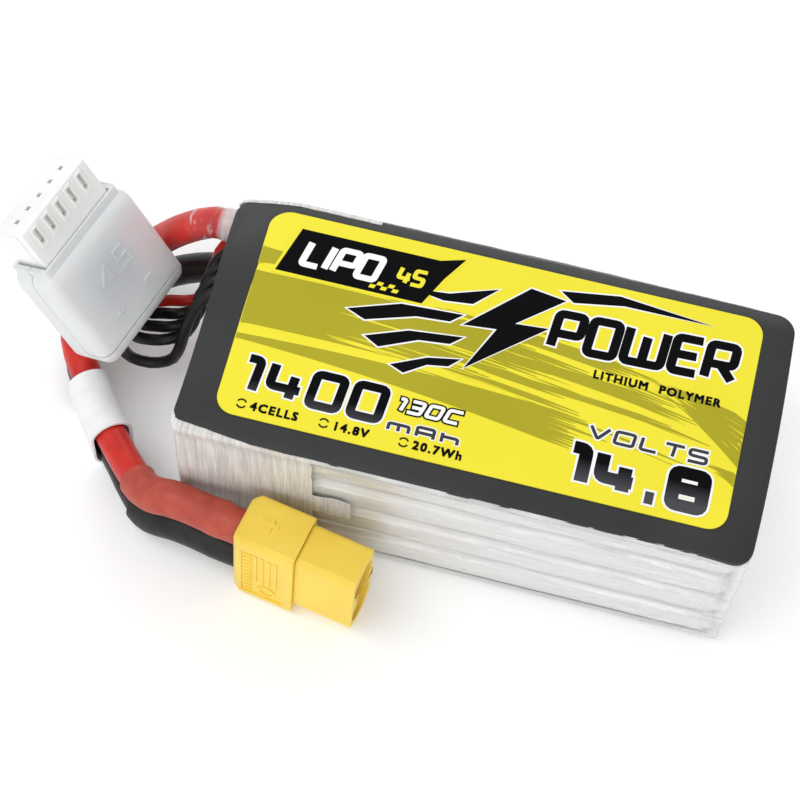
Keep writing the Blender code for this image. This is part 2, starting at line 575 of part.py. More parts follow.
def main():
    for obj in list(bpy.data.objects):
        bpy.data.objects.remove(obj, do_unlink=True)
    for name in ("lipo_battery_pack", "cutters"):
        bpy.context.scene.collection.children.link(bpy.data.collections.new(name))
    mats = {
        "pouch": material("pouch_foil", (0.62, 0.63, 0.64), 0.35, 0.9),
        "board": material("fibre_board", (0.10, 0.10, 0.10), 0.6),
        "foam": material("foam", (0.85, 0.85, 0.83), 0.9),
        "tab": material("nickel", (0.72, 0.71, 0.68), 0.3, 1.0),
        "copper": material("copper", (0.80, 0.48, 0.30), 0.3, 1.0),
        "pcb": material("circuit_board", (0.02, 0.16, 0.07), 0.45),
        "film": material("clear_film", (0.82, 0.82, 0.80), 0.2),
        "tape": material("filament_tape", (0.80, 0.78, 0.74), 0.3),
        "cover": material("cover_board", (0.045, 0.047, 0.046), 0.45),
        "label": material("label_ink", (0.90, 0.82, 0.04), 0.4),
        "red": material("red_silicone", (0.62, 0.03, 0.02), 0.45),
        "black": material("black_silicone", (0.012, 0.012, 0.012), 0.45),
        "shrink_red": material("red_shrink", (0.60, 0.07, 0.04), 0.5),
        "shrink_black": material("black_shrink", (0.03, 0.03, 0.03), 0.5),
        "white": material("white_shrink", (0.85, 0.85, 0.85), 0.5),
        "yellow": material("yellow_nylon", (0.90, 0.55, 0.03), 0.45),
        "gold": material("gold_plate", (0.90, 0.66, 0.22), 0.25, 1.0),
        "tin": material("tin_plate", (0.75, 0.75, 0.74), 0.3, 1.0),
        "nylon": material("white_nylon", (0.86, 0.86, 0.84), 0.45),
        "frosted": material("frosted_clip", (0.84, 0.84, 0.83), 0.4),
    }
    middles = build_cells(mats)
    build_tabs(mats, middles)
    build_ends(mats)
    build_wrap(mats)
    build_tape(mats)
    build_cover(mats)
    connector = frame_at(CONNECTOR_PLACE, CONNECTOR_TURN)
    build_leads(mats, connector)
    build_white_sleeve(mats)
    build_connector(mats, connector)
    plug = frame_at(PLUG_PLACE, PLUG_TURN)
    build_plug(mats, plug)
    build_clip(mats, plug)
    build_wires(mats, plug)


main()
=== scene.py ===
"""The looks of a four-cell lithium polymer battery pack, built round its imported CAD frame.

Sizes are in millimetres and become metres where a mesh is made. The pack's pieces are in the frame's
own axes: +X along the pack, away from the leads, +Y across it, +Z up out of the printed cover. The
power connector and the balance plug are built in frames of their own, CONNECTOR and PLUG, with x
towards the mating end.
"""
import math
import random

import bmesh
import bpy
from mathutils import Matrix, Vector, noise
from mathutils.geometry import delaunay_2d_cdt


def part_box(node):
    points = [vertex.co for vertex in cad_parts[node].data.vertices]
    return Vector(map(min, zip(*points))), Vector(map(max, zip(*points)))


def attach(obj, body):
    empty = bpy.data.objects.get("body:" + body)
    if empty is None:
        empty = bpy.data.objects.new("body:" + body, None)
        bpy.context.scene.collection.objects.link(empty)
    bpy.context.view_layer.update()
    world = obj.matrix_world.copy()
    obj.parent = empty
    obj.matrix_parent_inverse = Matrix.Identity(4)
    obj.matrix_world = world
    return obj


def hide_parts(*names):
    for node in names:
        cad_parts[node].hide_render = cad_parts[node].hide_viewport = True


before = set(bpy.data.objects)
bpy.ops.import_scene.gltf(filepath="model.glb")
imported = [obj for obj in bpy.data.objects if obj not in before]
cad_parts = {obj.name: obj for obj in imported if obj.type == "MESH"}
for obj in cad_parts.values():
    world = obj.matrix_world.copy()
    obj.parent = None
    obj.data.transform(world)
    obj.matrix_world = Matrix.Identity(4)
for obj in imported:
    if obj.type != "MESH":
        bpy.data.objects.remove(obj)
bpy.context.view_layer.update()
MM = 0.001


# ---- node materials
class Graph:
    """A Principled material and short calls that add nodes in front of its shader."""

    def __init__(self, name, **sockets):
        self.mat = bpy.data.materials.new(name)
        self.mat.use_nodes = True
        self.tree = self.mat.node_tree
        self.shader = self.tree.nodes["Principled BSDF"]
        for key, value in sockets.items():
            self.put(key.replace("_", " "), value)

    def feed(self, socket, value):
        """Link a socket, or set it to a number or a colour."""
        if isinstance(value, bpy.types.NodeSocket):
            self.tree.links.new(value, socket)
        elif isinstance(value, tuple):
            socket.default_value = (*value, 1.0)[:len(socket.default_value)]
        else:
            socket.default_value = value

    def put(self, socket, value):
        """Link or set one of the shader's sockets."""
        self.feed(self.shader.inputs[socket], value)

    def node(self, kind, inputs=(), **settings):
        made = self.tree.nodes.new(kind)
        for key, value in settings.items():
            setattr(made, key, value)
        for index, value in dict(inputs).items():
            self.feed(made.inputs[index], value)
        return made

    def place(self, scale=(1.0, 1.0, 1.0)):
        """The piece's own coordinates in millimetres, scaled along each axis."""
        coords = self.node("ShaderNodeTexCoord").outputs["Object"]
        per_metre = tuple(s / MM for s in scale)
        return self.node("ShaderNodeMapping", {"Vector": coords, "Scale": per_metre}).outputs["Vector"]

    def noise(self, where, scale=1.0, detail=3.0, rough=0.5, distort=0.0):
        return self.node("ShaderNodeTexNoise", {"Vector": where, "Scale": scale, "Detail": detail,
                                                "Roughness": rough, "Distortion": distort}).outputs["Fac"]

    def axis(self, where, name):
        return self.node("ShaderNodeSeparateXYZ", {0: where}).outputs[name]

    def math(self, operation, a, b=0.0, clamp=False):
        return self.node("ShaderNodeMath", {0: a, 1: b}, operation=operation, use_clamp=clamp).outputs[0]

    def span(self, value, low, high, out_low=0.0, out_high=1.0):
        """value from low..high to out_low..out_high, held at the ends."""
        return self.node("ShaderNodeMapRange", {"Value": value, "From Min": low, "From Max": high,
                                                "To Min": out_low, "To Max": out_high}).outputs["Result"]

    def mix(self, amount, first, second):
        made = self.node("ShaderNodeMix", data_type="RGBA")
        for index, value in ((0, amount), (6, first), (7, second)):
            self.feed(made.inputs[index], value)
        return made.outputs[2]

    def bump(self, height, strength, depth, under=None):
        inputs = {"Height": height, "Strength": strength, "Distance": depth * MM}
        if under is not None:
            inputs["Normal"] = under
        return self.node("ShaderNodeBump", inputs).outputs["Normal"]


def varied(name, dark, light, rough=(0.4, 0.5), grain=(3.0, 4.0, 0.6), relief=(0.15, 0.05),
           patch=(0.25, 3.0), contrast=0.15, soft=None, **sockets):
    """A material with cloudy colour, fine grain and a roughness that goes with it.

    grain and patch are the arguments of their noise, relief is the grain's bump strength and depth,
    and soft is the scale, detail, strength and depth of a broad bump over it.
    """
    g = Graph(name, **sockets)
    where = g.place()
    fine = g.noise(where, *grain)
    g.put("Base Color", g.mix(g.span(g.noise(where, *patch), 0.5 - contrast, 0.5 + contrast), dark, light))
    g.put("Roughness", g.span(fine, 0.3, 0.7, *rough))
    normal = g.bump(fine, *relief)
    if soft:
        scale, detail, strength, depth = soft
        normal = g.bump(g.noise(where, scale, detail), strength, depth, normal)
    g.put("Normal", normal)
    return g.mat


# ---- mesh pieces
def link(obj):
    bpy.context.scene.collection.objects.link(obj)


def add(obj, mat, body="pack", replaces=()):
    """Put a piece in the scene with its material and body, and hide the nodes it stands for."""
    link(obj)
    obj.data.materials.append(mat)
    if replaces:
        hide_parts(*replaces)
    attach(obj, body)
    return obj


def round_edges(obj, width, segments, angle):
    """Bevel the edges sharper than an angle, and shade smoothly over them."""
    modifier = obj.modifiers.new("edges", "BEVEL")
    modifier.width = width
    modifier.segments = segments
    modifier.limit_method = "ANGLE"
    modifier.angle_limit = math.radians(angle)
    modifier.harden_normals = True


def mesh_piece(name, bm, mat, body="pack", slot=None, replaces=(), place=None, bevel=0.0, segments=2):
    """Make a piece from a bmesh, with its edges bevelled or only marked sharp."""
    bmesh.ops.recalc_face_normals(bm, faces=bm.faces)
    mesh = bpy.data.meshes.new(name)
    bm.to_mesh(mesh)
    bm.free()
    obj = bpy.data.objects.new(name, mesh)
    if place is not None:
        obj.matrix_world = place
    mesh.shade_smooth()
    if bevel:
        round_edges(obj, bevel, segments, 30)
    else:
        mesh.set_sharp_from_angle(angle=math.radians(38))
    return add(obj, mat, body, replaces)


def loft(bm, rings, ends="capped"):
    """Faces between closed rings of points; the ends are capped, joined or left open. Returns the rows."""
    rows = [[bm.verts.new(point) for point in ring] for ring in rings]
    pairs = list(zip(rows, rows[1:]))
    if ends == "joined":
        pairs.append((rows[-1], rows[0]))
    for row, following in pairs:
        for index in range(len(row)):
            after = (index + 1) % len(row)
            bm.faces.new((row[index], row[after], following[after], following[index]))
    if ends == "capped":
        bm.faces.new(rows[0])
        bm.faces.new(list(reversed(rows[-1])))
    return rows


def lofted(name, rings, mat, ends="capped", **settings):
    """A piece that is one loft."""
    bm = bmesh.new()
    loft(bm, rings, ends)
    return mesh_piece(name, bm, mat, **settings)


def prism(bm, outline, low, high, to_point=None):
    """A solid between two heights over an outline of x and y."""
    to_point = to_point or (lambda x, y, z: Vector((x, y, z)))
    return loft(bm, [[to_point(x, y, low) for x, y in outline], [to_point(x, y, high) for x, y in outline]])


def block(bm, low, high):
    """A box between two corners in millimetres."""
    (x0, y0, z0), (x1, y1, z1) = ([v * MM for v in corner] for corner in (low, high))
    return prism(bm, [(x0, y0), (x1, y0), (x1, y1), (x0, y1)], z0, z1)


def rounded_rect(half_x, half_y, radius, steps=6):
    """An outline with round corners, each in a number of steps."""
    points = []
    for quarter, (sx, sy) in enumerate(((1, 1), (-1, 1), (-1, -1), (1, -1))):
        for step in range(steps + 1):
            angle = (quarter + step / steps) * math.pi / 2
            points.append((sx * (half_x - radius) + radius * math.cos(angle),
                           sy * (half_y - radius) + radius * math.sin(angle)))
    return points


def circle(radius, count, centre=(0.0, 0.0)):
    angles = [2 * math.pi * k / count for k in range(count)]
    return [(centre[0] + radius * math.cos(a), centre[1] + radius * math.sin(a)) for a in angles]


def baked(obj):
    """A mesh of the object as it now looks, with its modifiers."""
    bpy.context.view_layer.update()
    return bpy.data.meshes.new_from_object(obj.evaluated_get(bpy.context.evaluated_depsgraph_get()))


def boolean(obj, tool, operation="DIFFERENCE"):
    """Cut or join with another object now, and drop the tool."""
    modifier = obj.modifiers.new("cut", "BOOLEAN")
    modifier.operation = operation
    modifier.object = tool
    modifier.solver = "EXACT"
    mesh = baked(obj)
    obj.modifiers.clear()
    obj.data = mesh
    bpy.data.objects.remove(tool, do_unlink=True)


# ---- routes, as the cords' solids lie
def catmull_rom(before, start, end, after, t):
    """A place on the centripetal curve from start to end."""
    knots = [0.0]
    for a, b in ((before, start), (start, end), (end, after)):
        knots.append(knots[-1] + math.sqrt((b - a).length))
    t = knots[1] + t * (knots[2] - knots[1])

    def blend(a, b, low, high):
        return a + (b - a) * ((t - low) / (high - low))

    first = blend(before, start, knots[0], knots[1])
    second = blend(start, end, knots[1], knots[2])
    third = blend(end, after, knots[2], knots[3])
    left = blend(first, second, knots[0], knots[2])
    right = blend(second, third, knots[1], knots[3])
    return blend(left, right, knots[1], knots[2])


def smooth_route(points, count):
    """count points at even spacing along a smooth curve through the given ones."""
    points = [Vector(p) for p in points]
    ends = [2 * points[0] - points[1], *points, 2 * points[-1] - points[-2]]
    fine = [points[0]]
    for before, start, end, after in zip(ends, ends[1:], ends[2:], ends[3:]):
        for step in range(1, 21):
            fine.append(catmull_rom(before, start, end, after, step / 20))
    lengths = [0.0]
    for a, b in zip(fine, fine[1:]):
        lengths.append(lengths[-1] + (b - a).length)
    route, index = [], 0
    for step in range(count):
        target = lengths[-1] * step / (count - 1)
        while index < len(fine) - 2 and lengths[index + 1] < target:
            index += 1
        share = (target - lengths[index]) / (lengths[index + 1] - lengths[index])
        route.append(fine[index].lerp(fine[index + 1], share))
    return route


def route_length(points):
    return sum((b - a).length for a, b in zip(points, points[1:]))


def frame_at(place, turn):
    """A frame from a place in metres and its yaw, pitch and roll in degrees."""
    yaw, pitch, roll = (math.radians(angle) for angle in turn)
    spin = Matrix.Rotation(yaw, 4, "Z") @ Matrix.Rotation(pitch, 4, "Y") @ Matrix.Rotation(roll, 4, "X")
    return Matrix.Translation(place) @ spin


# Where the connector and the plug lie: worked out from the photograph, then brought down until
# one rests just over the floor and the other just over the red lead.
CONNECTOR = frame_at((-28.0 * MM, -23.75 * MM, 8.75 * MM), (-9.5, 1.2, -2.0))
PLUG = frame_at((-64.5 * MM, 6.5 * MM, 35.8 * MM), (167.3, -59.6, -4.9))
PIN_Z = 3.6                         # the sockets' distance from the connector's middle
LEAD_RADIUS = 2.25 * MM
WIRE_RADIUS = 0.85 * MM
WIRE_STEP = 2.0 * MM
PITCH = 2.5 * MM
WAYS = 5

RED_ROUTE = ((-36.6, 15.6, 24.4), (-39.0, 15.6, 24.4), (-43.2, 16.0, 23.6), (-47.8, 16.3, 19.7),
             (-52.3, 16.6, 14.0), (-57.1, 14.1, 9.8), (-60.7, 9.0, 8.6), (-61.2, 3.6, 8.3),
             (-59.5, -0.8, 8.0), (-57.0, -4.3, 7.9), (-55.1, -7.0, 7.85), (-53.1, -9.8, 7.85),
             (-50.9, -12.4, 7.85), (-48.7, -14.8, 8.0), (-45.8, -17.9, 8.9), (-42.3, -21.1, 10.8))
BLACK_ROUTE = ((-36.6, 15.2, 13.0), (-39.0, 15.2, 13.0), (-43.0, 16.3, 11.1), (-47.2, 16.7, 8.6),
               (-52.0, 15.9, 5.9), (-56.8, 13.3, 3.7), (-60.4, 8.8, 3.1), (-61.0, 3.6, 2.95),
               (-59.4, -0.8, 2.95), (-57.0, -4.3, 2.95), (-55.1, -7.0, 2.95), (-53.1, -9.8, 2.95),
               (-50.9, -12.4, 2.95), (-48.7, -14.8, 2.95), (-45.9, -18.1, 3.0), (-42.4, -21.3, 3.9))
WIRE_ROUTE = ((-36.4, 12.2, 20.3), (-39.0, 12.2, 20.3), (-41.3, 11.4, 19.6), (-42.7, 10.2, 18.0),
              (-43.2, 8.8, 15.6), (-43.4, 7.9, 13.2), (-44.4, 6.9, 10.8), (-47.2, 5.9, 9.3),
              (-49.6, 4.8, 10.2))
LONG_WIRE_ROUTE = ((-36.4, 8.2, 20.3), (-39.0, 8.1, 20.3), (-41.5, 6.7, 19.5), (-43.4, 5.0, 17.0),
                   (-44.4, 3.2, 13.6), (-45.0, 2.2, 10.4), (-46.2, 1.5, 7.6), (-49.1, 0.9, 6.3),
                   (-51.9, 0.4, 7.5), (-53.0, 0.1, 10.6))
LEAD_POINTS = 40
WIRE_POINTS = 36


def lead_points(route, side):
    """A lead's route from the pack into the connector."""
    points = [Vector(p) * MM for p in route]
    for x in (-10.0, -6.5, -3.0, 1.0, 5.0):
        points.append(CONNECTOR @ (Vector((x, 0, side * PIN_Z)) * MM))
    return smooth_route(points, LEAD_POINTS)


def ribbon_offset(before, after, side, aside):
    """A sideways step that keeps neighbours the same distance apart where the ribbon turns."""
    run = (after - before).normalized()
    return side * (aside / (side - side.dot(run) * run).length)


def plug_way_y(way):
    return (WAYS - 1 - 2 * way) * PITCH / 2


def wire_points(way):
    """A balance wire's route from the pack to its way in the plug."""
    plug_side = -(PLUG.to_3x3() @ Vector((0, 1, 0)))
    middle = [Vector(place) * MM for place in WIRE_ROUTE]
    middle += [PLUG @ Vector((x * MM, 0, 0)) for x in (-27.0, -24.8)]
    aside = (way - (WAYS - 1) / 2) * WIRE_STEP
    points = [middle[0] + Vector((0, aside, 0))]
    for index in range(1, len(middle) - 1):
        side = Vector((0, 1, 0)).lerp(plug_side, index / len(middle))
        points.append(middle[index] + ribbon_offset(middle[index - 1], middle[index + 1], side, aside))
    if way == 0:
        points = [Vector(place) * MM for place in LONG_WIRE_ROUTE]
    for x, y in ((-25.0, -aside), (-21.5, -aside), (-14.0, plug_way_y(way)), (-10.1, plug_way_y(way))):
        points.append(PLUG @ Vector((x * MM, y, 0)))
    return smooth_route(points, WIRE_POINTS)


def poly_curve(name, points, radius, resolution=5):
    """A round cord along a route."""
    curve = bpy.data.curves.new(name, "CURVE")
    curve.dimensions = "3D"
    curve.bevel_depth = radius
    curve.bevel_resolution = resolution
    curve.use_fill_caps = True
    spline = curve.splines.new("POLY")
    spline.points.add(len(points) - 1)
    for point, place in zip(spline.points, points):
        point.co = (*place, 1.0)
    spline.use_smooth = True
    return bpy.data.objects.new(name, curve)


# ---- camera, floor and lights
AIM = Vector((-11.91, -0.168, 15.0)) * MM
VIEW_DISTANCE = 290.5 * MM
VIEW_AZIMUTH, VIEW_ELEVATION, VIEW_ROLL = 10.42, 61.84, 4.217
CAMERA_LENS = 93.53                 # millimetres, on a sensor of 36
FLOOR_DROP = 0.00002                # metres, so that it doesn't meet the pack's underside


def build_camera():
    azimuth, elevation, roll = (math.radians(a) for a in (VIEW_AZIMUTH, VIEW_ELEVATION, VIEW_ROLL))
    back = Vector((math.sin(azimuth) * math.cos(elevation), -math.cos(azimuth) * math.cos(elevation),
                   math.sin(elevation)))
    level = Vector((0, 0, 1)).cross(back).normalized()
    upright = back.cross(level)
    right = math.cos(roll) * level + math.sin(roll) * upright
    up = math.cos(roll) * upright - math.sin(roll) * level
    camera = bpy.data.cameras.new("camera")
    camera.sensor_width = 36
    camera.lens = CAMERA_LENS
    camera.clip_start = 0.01
    obj = bpy.data.objects.new("camera", camera)
    turn = Matrix((right, up, back)).transposed().to_4x4()
    obj.matrix_world = Matrix.Translation(AIM + back * VIEW_DISTANCE) @ turn
    link(obj)
    bpy.context.scene.camera = obj


def build_stage():
    """A white sweep: floor, curved rise and back wall."""
    bm = bmesh.new()
    reach, rise, radius, steps = 1.2, 0.9, 0.35, 10
    outline = [(-reach, 0.0), (reach - radius, 0.0)]
    for step in range(1, steps + 1):
        angle = math.pi / 2 * step / steps
        outline.append((reach - radius + radius * math.sin(angle), radius - radius * math.cos(angle)))
    outline.append((reach, rise))
    rows = [[bm.verts.new((x, y, z - FLOOR_DROP)) for y, z in outline] for x in (-1.6, 1.6)]
    for k in range(len(outline) - 1):
        bm.faces.new((rows[0][k], rows[1][k], rows[1][k + 1], rows[0][k + 1]))
    mesh = bpy.data.meshes.new("floor")
    bm.to_mesh(mesh)
    bm.free()
    mesh.shade_smooth()
    floor = bpy.data.objects.new("floor", mesh)
    g = Graph("floor", Roughness=0.7, Specular_IOR_Level=0.1, Emission_Color=(1.0, 1.0, 1.0),
              Emission_Strength=0.10)
    g.put("Base Color", g.mix(g.noise(g.place(), 0.02, 2.0), (0.93, 0.93, 0.93), (0.96, 0.96, 0.96)))
    mesh.materials.append(g.mat)
    link(floor)


def area_light(name, place, size, watts):
    light = bpy.data.lights.new(name, "AREA")
    light.shape = "RECTANGLE"
    light.size, light.size_y = size
    light.energy = watts
    obj = bpy.data.objects.new(name, light)
    place = Vector(place)
    turn = (place - AIM).to_track_quat("Z", "Y").to_matrix().to_4x4()
    obj.matrix_world = Matrix.Translation(place) @ turn
    link(obj)


def build_lights():
    world = bpy.data.worlds.new("studio")
    bpy.context.scene.world = world
    world.use_nodes = True
    background = world.node_tree.nodes["Background"]
    background.inputs["Color"].default_value = (0.98, 0.99, 1.0, 1.0)
    background.inputs["Strength"].default_value = 0.58
    area_light("key_softbox", (-0.35, -0.20, 0.75), (0.6, 0.5), 2.6)
    area_light("front_softbox", (0.20, -0.75, 0.40), (0.8, 0.4), 2.0)
    area_light("back_softbox", (-0.1, 0.7, 0.5), (0.8, 0.3), 1.9)
    bpy.context.scene.view_settings.view_transform = "Standard"


build_camera()
build_stage()
build_lights()


# ---- the cords' materials
def silicone(name, dark, light):
    """A soft sheath: satin, with faint rings where it was drawn over the strands."""
    return varied(name, dark, light, (0.30, 0.46), (9.0, 4.0, 0.65), (0.25, 0.03), soft=(0.9, 2.0, 0.35, 0.25),
                  Specular_IOR_Level=0.32)


def shrink_tube(name, dark, light, rough=(0.42, 0.6)):
    """Recovered heat-shrink: dull, with soft lumps."""
    return varied(name, dark, light, rough, (7.0, 5.0, 0.7), (0.3, 0.04), (0.35, 4.0), 0.2,
                  (0.6, 2.0, 0.5, 0.35), Specular_IOR_Level=0.4)


MATS = {
    "red": silicone("red_silicone", (0.46, 0.012, 0.010), (0.62, 0.028, 0.018)),
    "black": silicone("black_silicone", (0.004, 0.004, 0.004), (0.010, 0.010, 0.009)),
    "shrink_red": shrink_tube("red_shrink", (0.38, 0.046, 0.028), (0.50, 0.085, 0.052)),
    "shrink_black": shrink_tube("black_shrink", (0.007, 0.008, 0.008), (0.020, 0.020, 0.019)),
    "white": shrink_tube("white_shrink", (0.80, 0.80, 0.81), (0.88, 0.88, 0.88), (0.45, 0.6)),
}


# ---- the leads
SHRINK_START, SHRINK_END = 0.745, 0.986     # parts of a lead's length
TUBE_SIDES = 28


def offset_rings(points, radii, wobble=None):
    """Rings of a tube along points, carried along without twist."""
    rings = []
    across = (points[1] - points[0]).normalized().orthogonal().normalized()
    for index, point in enumerate(points):
        ahead = points[min(index + 1, len(points) - 1)] - points[max(index - 1, 0)]
        ahead.normalize()
        across = (across - ahead * across.dot(ahead)).normalized()
        side = ahead.cross(across)
        ring = []
        for k in range(TUBE_SIDES):
            angle = 2 * math.pi * k / TUBE_SIDES
            out = across * math.cos(angle) + side * math.sin(angle)
            radius = radii[index]
            if wobble:
                radius += wobble(point, out, index)
            ring.append(point + out * radius)
        rings.append(ring)
    return rings


def hollow_tube(name, points, inner, outer, mat, wobble=None, **settings):
    """An open-ended tube; inner and outer are radii at each point."""
    outside, inside = offset_rings(points, outer, wobble), offset_rings(points, inner)
    return lofted(name, outside + list(reversed(inside)), mat, "joined", **settings)


def part_of(points, start, end, count):
    """Points along a route between two parts of its length."""
    fine = smooth_route(points, 400)
    first, last = int(start * 399), int(end * 399)
    return [fine[round(first + (last - first) * k / (count - 1))] for k in range(count)]


def build_lead(colour, route, side):
    """A main lead and the heat-shrink tube at its connector end, with a lip and a bulge over the joint."""
    points = lead_points(route, side)
    lead = poly_curve(f"lead_{colour}", points, LEAD_RADIUS)
    add(lead, MATS[colour], replaces=(f"main_lead_{colour}",))

    sleeve = part_of(points, SHRINK_START, SHRINK_END, 44)
    length = route_length(sleeve)
    outer, inner = [], []
    for index in range(len(sleeve)):
        along = length * index / (len(sleeve) - 1) / MM
        lip = 0.32 + 0.10 * math.exp(-along / 0.8)
        bulge = 0.12 * math.exp(-((along - length / MM + 7.5) / 1.6) ** 2)
        outer.append(LEAD_RADIUS + (lip + bulge) * MM)
        inner.append(LEAD_RADIUS + 0.06 * MM)
    seed = Vector((3.1, 8.2, side))

    def wobble(point, out, index):
        edge = min(1.0, index / 3)
        return 0.10 * MM * edge * noise.noise(point * 380 + out * 0.9 + seed)

    tube = hollow_tube(f"lead_sleeve_{colour}", sleeve, inner, outer, MATS[f"shrink_{colour}"], wobble,
                       slot=f"{colour}_shrink", replaces=(f"heat_shrink_{colour}",))
    return lead, points, tube


def build_exit_film(points):
    """Clear film drawn round the lead where it comes out of the pack: milky there, then glossy, with whitish
    streaks painted along it as highlights.
    """
    g = Graph("exit_film", Specular_IOR_Level=0.7)
    where = g.place()
    bands = g.noise(g.place((1.0, 0.25, 0.25)), 1.2, 3.0, 0.6)
    near_pack = g.span(g.axis(where, "X"), -42.4, -41.4, 0.0, 0.40)
    # painted highlight: whitish streaks made more opaque, standing in for glints on the film
    painted_glint = g.span(bands, 0.56, 0.70, 0.0, 0.34)
    g.put("Base Color", g.mix(bands, (0.84, 0.80, 0.80), (0.96, 0.93, 0.93)))
    g.put("Roughness", g.span(g.noise(where, 2.6, 4.0, 0.7), 0.3, 0.7, 0.14, 0.30))
    g.put("Alpha", g.math("ADD", g.math("ADD", near_pack, painted_glint), 0.02, clamp=True))
    g.put("Normal", g.bump(bands, 0.6, 0.3))
    near = part_of(points, 0.0, 0.115, 17)
    hollow_tube("exit_film", near, [2.33 * MM] * 17, [(2.46 - 0.006 * k) * MM for k in range(17)], g.mat,
                lambda point, out, index: 0.06 * MM * noise.noise(point * 500 + out * 2), slot="clear_film")


red_lead, red_points, red_tube = build_lead("red", RED_ROUTE, 1)
black_lead, black_points, black_tube = build_lead("black", BLACK_ROUTE, -1)
build_exit_film(red_points)


def build_wire(way):
    points = wire_points(way)
    colour = "red" if way == WAYS - 1 else "black"
    wire = poly_curve(f"wire_{way + 1}", points, WIRE_RADIUS, 4)
    add(wire, MATS[colour], replaces=(f"balance_wire_{way + 1}",))
    return wire, points


wires = [build_wire(way) for way in range(WAYS)]


# ---- the pack's materials
def foil_material():
    """Laminated pouch foil: silvery, with long soft creases and fine crinkle."""
    g = Graph("pouch_foil", Metallic=0.35, Specular_IOR_Level=0.6)
    where = g.place()
    streak = g.noise(g.place((0.05, 1.0, 1.6)), 1.6, 4.0, 0.6)
    cloud = g.noise(where, 0.12, 3.0)
    crinkle = g.noise(g.place((0.35, 1.0, 1.0)), 1.1, 5.0, 0.65)
    tone = g.mix(g.span(streak, 0.35, 0.68), (0.70, 0.70, 0.69), (0.83, 0.83, 0.82))
    warm = g.span(g.axis(where, "X"), -24.0, 4.0, 0.75, 0.0)
    warm = g.math("MULTIPLY", warm, g.span(cloud, 0.35, 0.62))
    g.put("Base Color", g.mix(warm, tone, (0.66, 0.52, 0.33)))
    g.put("Roughness", g.span(crinkle, 0.3, 0.7, 0.26, 0.44))
    g.put("Normal", g.bump(crinkle, 0.2, 0.2))
    return g.mat


def film_material():
    """Clear shrink film: mostly transparent, glossy, with tension wrinkles and a few milky creases."""
    g = Graph("clear_film", Specular_IOR_Level=0.6, Coat_Weight=0.15, Coat_Roughness=0.08)
    streak = g.noise(g.place((0.06, 1.0, 1.0)), 1.3, 4.0, 0.6)
    fold = g.noise(g.place((0.22, 1.0, 0.9)), 0.55, 3.0, 0.6, 0.6)
    scuff = g.noise(g.place(), 2.4, 5.0, 0.7)
    milky = g.math("MULTIPLY", g.span(fold, 0.52, 0.74), g.span(streak, 0.4, 0.62))
    g.put("Base Color", g.mix(milky, (0.93, 0.93, 0.93), (0.99, 0.99, 0.99)))
    g.put("Roughness", g.span(scuff, 0.3, 0.7, 0.10, 0.24))
    tail = g.span(g.axis(g.place(), "X"), 33.0, 38.5, 0.14, 0.42)
    g.put("Alpha", g.math("ADD", tail, g.math("MULTIPLY", milky, 0.34), clamp=True))
    g.put("Normal", g.bump(streak, 0.15, 0.2, g.bump(fold, 0.22, 0.4)))
    return g.mat


def tape_material():
    """Filament tape: clear film full of fine glass threads that run round the pack."""
    g = Graph("filament_tape", Specular_IOR_Level=0.5, Coat_Weight=0.2, Coat_Roughness=0.2)
    threads = g.noise(g.place((1.0, 0.02, 0.03)), 4.2, 3.0, 0.6)
    broad = g.noise(g.place((1.0, 0.05, 0.08)), 0.9, 3.0, 0.6)
    cloud = g.noise(g.place(), 0.22, 3.0)
    milky = g.math("ADD", g.math("MULTIPLY", g.span(threads, 0.35, 0.65), 0.55),
                   g.math("MULTIPLY", g.span(broad, 0.35, 0.65), 0.45))
    tone = g.mix(milky, (0.70, 0.68, 0.65), (0.86, 0.85, 0.83))
    g.put("Base Color", g.mix(g.span(cloud, 0.45, 0.75, 0.0, 0.45), tone, (0.76, 0.70, 0.60)))
    g.put("Roughness", g.span(threads, 0.3, 0.7, 0.28, 0.42))
    g.put("Alpha", g.math("ADD", 0.64, g.math("MULTIPLY", milky, 0.30), clamp=True))
    g.put("Normal", g.bump(threads, 0.5, 0.12, g.bump(broad, 0.35, 0.25)))
    return g.mat


def metal(name, dark, light, rough, relief, metallic=1.0):
    return varied(name, dark, light, rough, (5.0, 4.0, 0.6), (relief, 0.05), Metallic=metallic)


MATS.update({
    "foil": foil_material(),
    "film": film_material(),
    "tape": tape_material(),
    "film_edge": varied("film_edge", (0.66, 0.66, 0.66), (0.86, 0.86, 0.86), (0.15, 0.3), (1.5, 4.0, 0.6),
                        (0.2, 0.05), Alpha=0.75),
    "cover": varied("cover_board", (0.023, 0.024, 0.0235), (0.030, 0.032, 0.031), (0.36, 0.48), (5.0, 4.0, 0.6),
                    (0.12, 0.03), (0.06, 3.0), soft=(0.06, 3.0, 0.2, 0.3), Specular_IOR_Level=0.35),
    "foam": varied("foam", (0.79, 0.78, 0.76), (0.86, 0.85, 0.83), (0.75, 0.9), (4.0, 4.0, 0.6), (0.8, 0.2)),
    "board": varied("fibre_board", (0.07, 0.07, 0.07), (0.12, 0.12, 0.11), (0.5, 0.65), (6.0, 4.0, 0.6),
                    (0.3, 0.05)),
    "pcb": varied("circuit_board", (0.012, 0.11, 0.05), (0.02, 0.17, 0.08), (0.3, 0.45), (6.0, 4.0, 0.6)),
    "nickel": metal("nickel", (0.66, 0.65, 0.61), (0.78, 0.77, 0.73), (0.22, 0.36), 0.1),
    "copper": metal("copper", (0.74, 0.40, 0.24), (0.84, 0.52, 0.34), (0.22, 0.36), 0.1),
    "gold": metal("gold_plate", (0.74, 0.46, 0.12), (0.90, 0.64, 0.24), (0.18, 0.32), 0.12),
    "tin": metal("tin_plate", (0.78, 0.78, 0.76), (0.90, 0.90, 0.88), (0.26, 0.42), 0.15, 0.7),
})


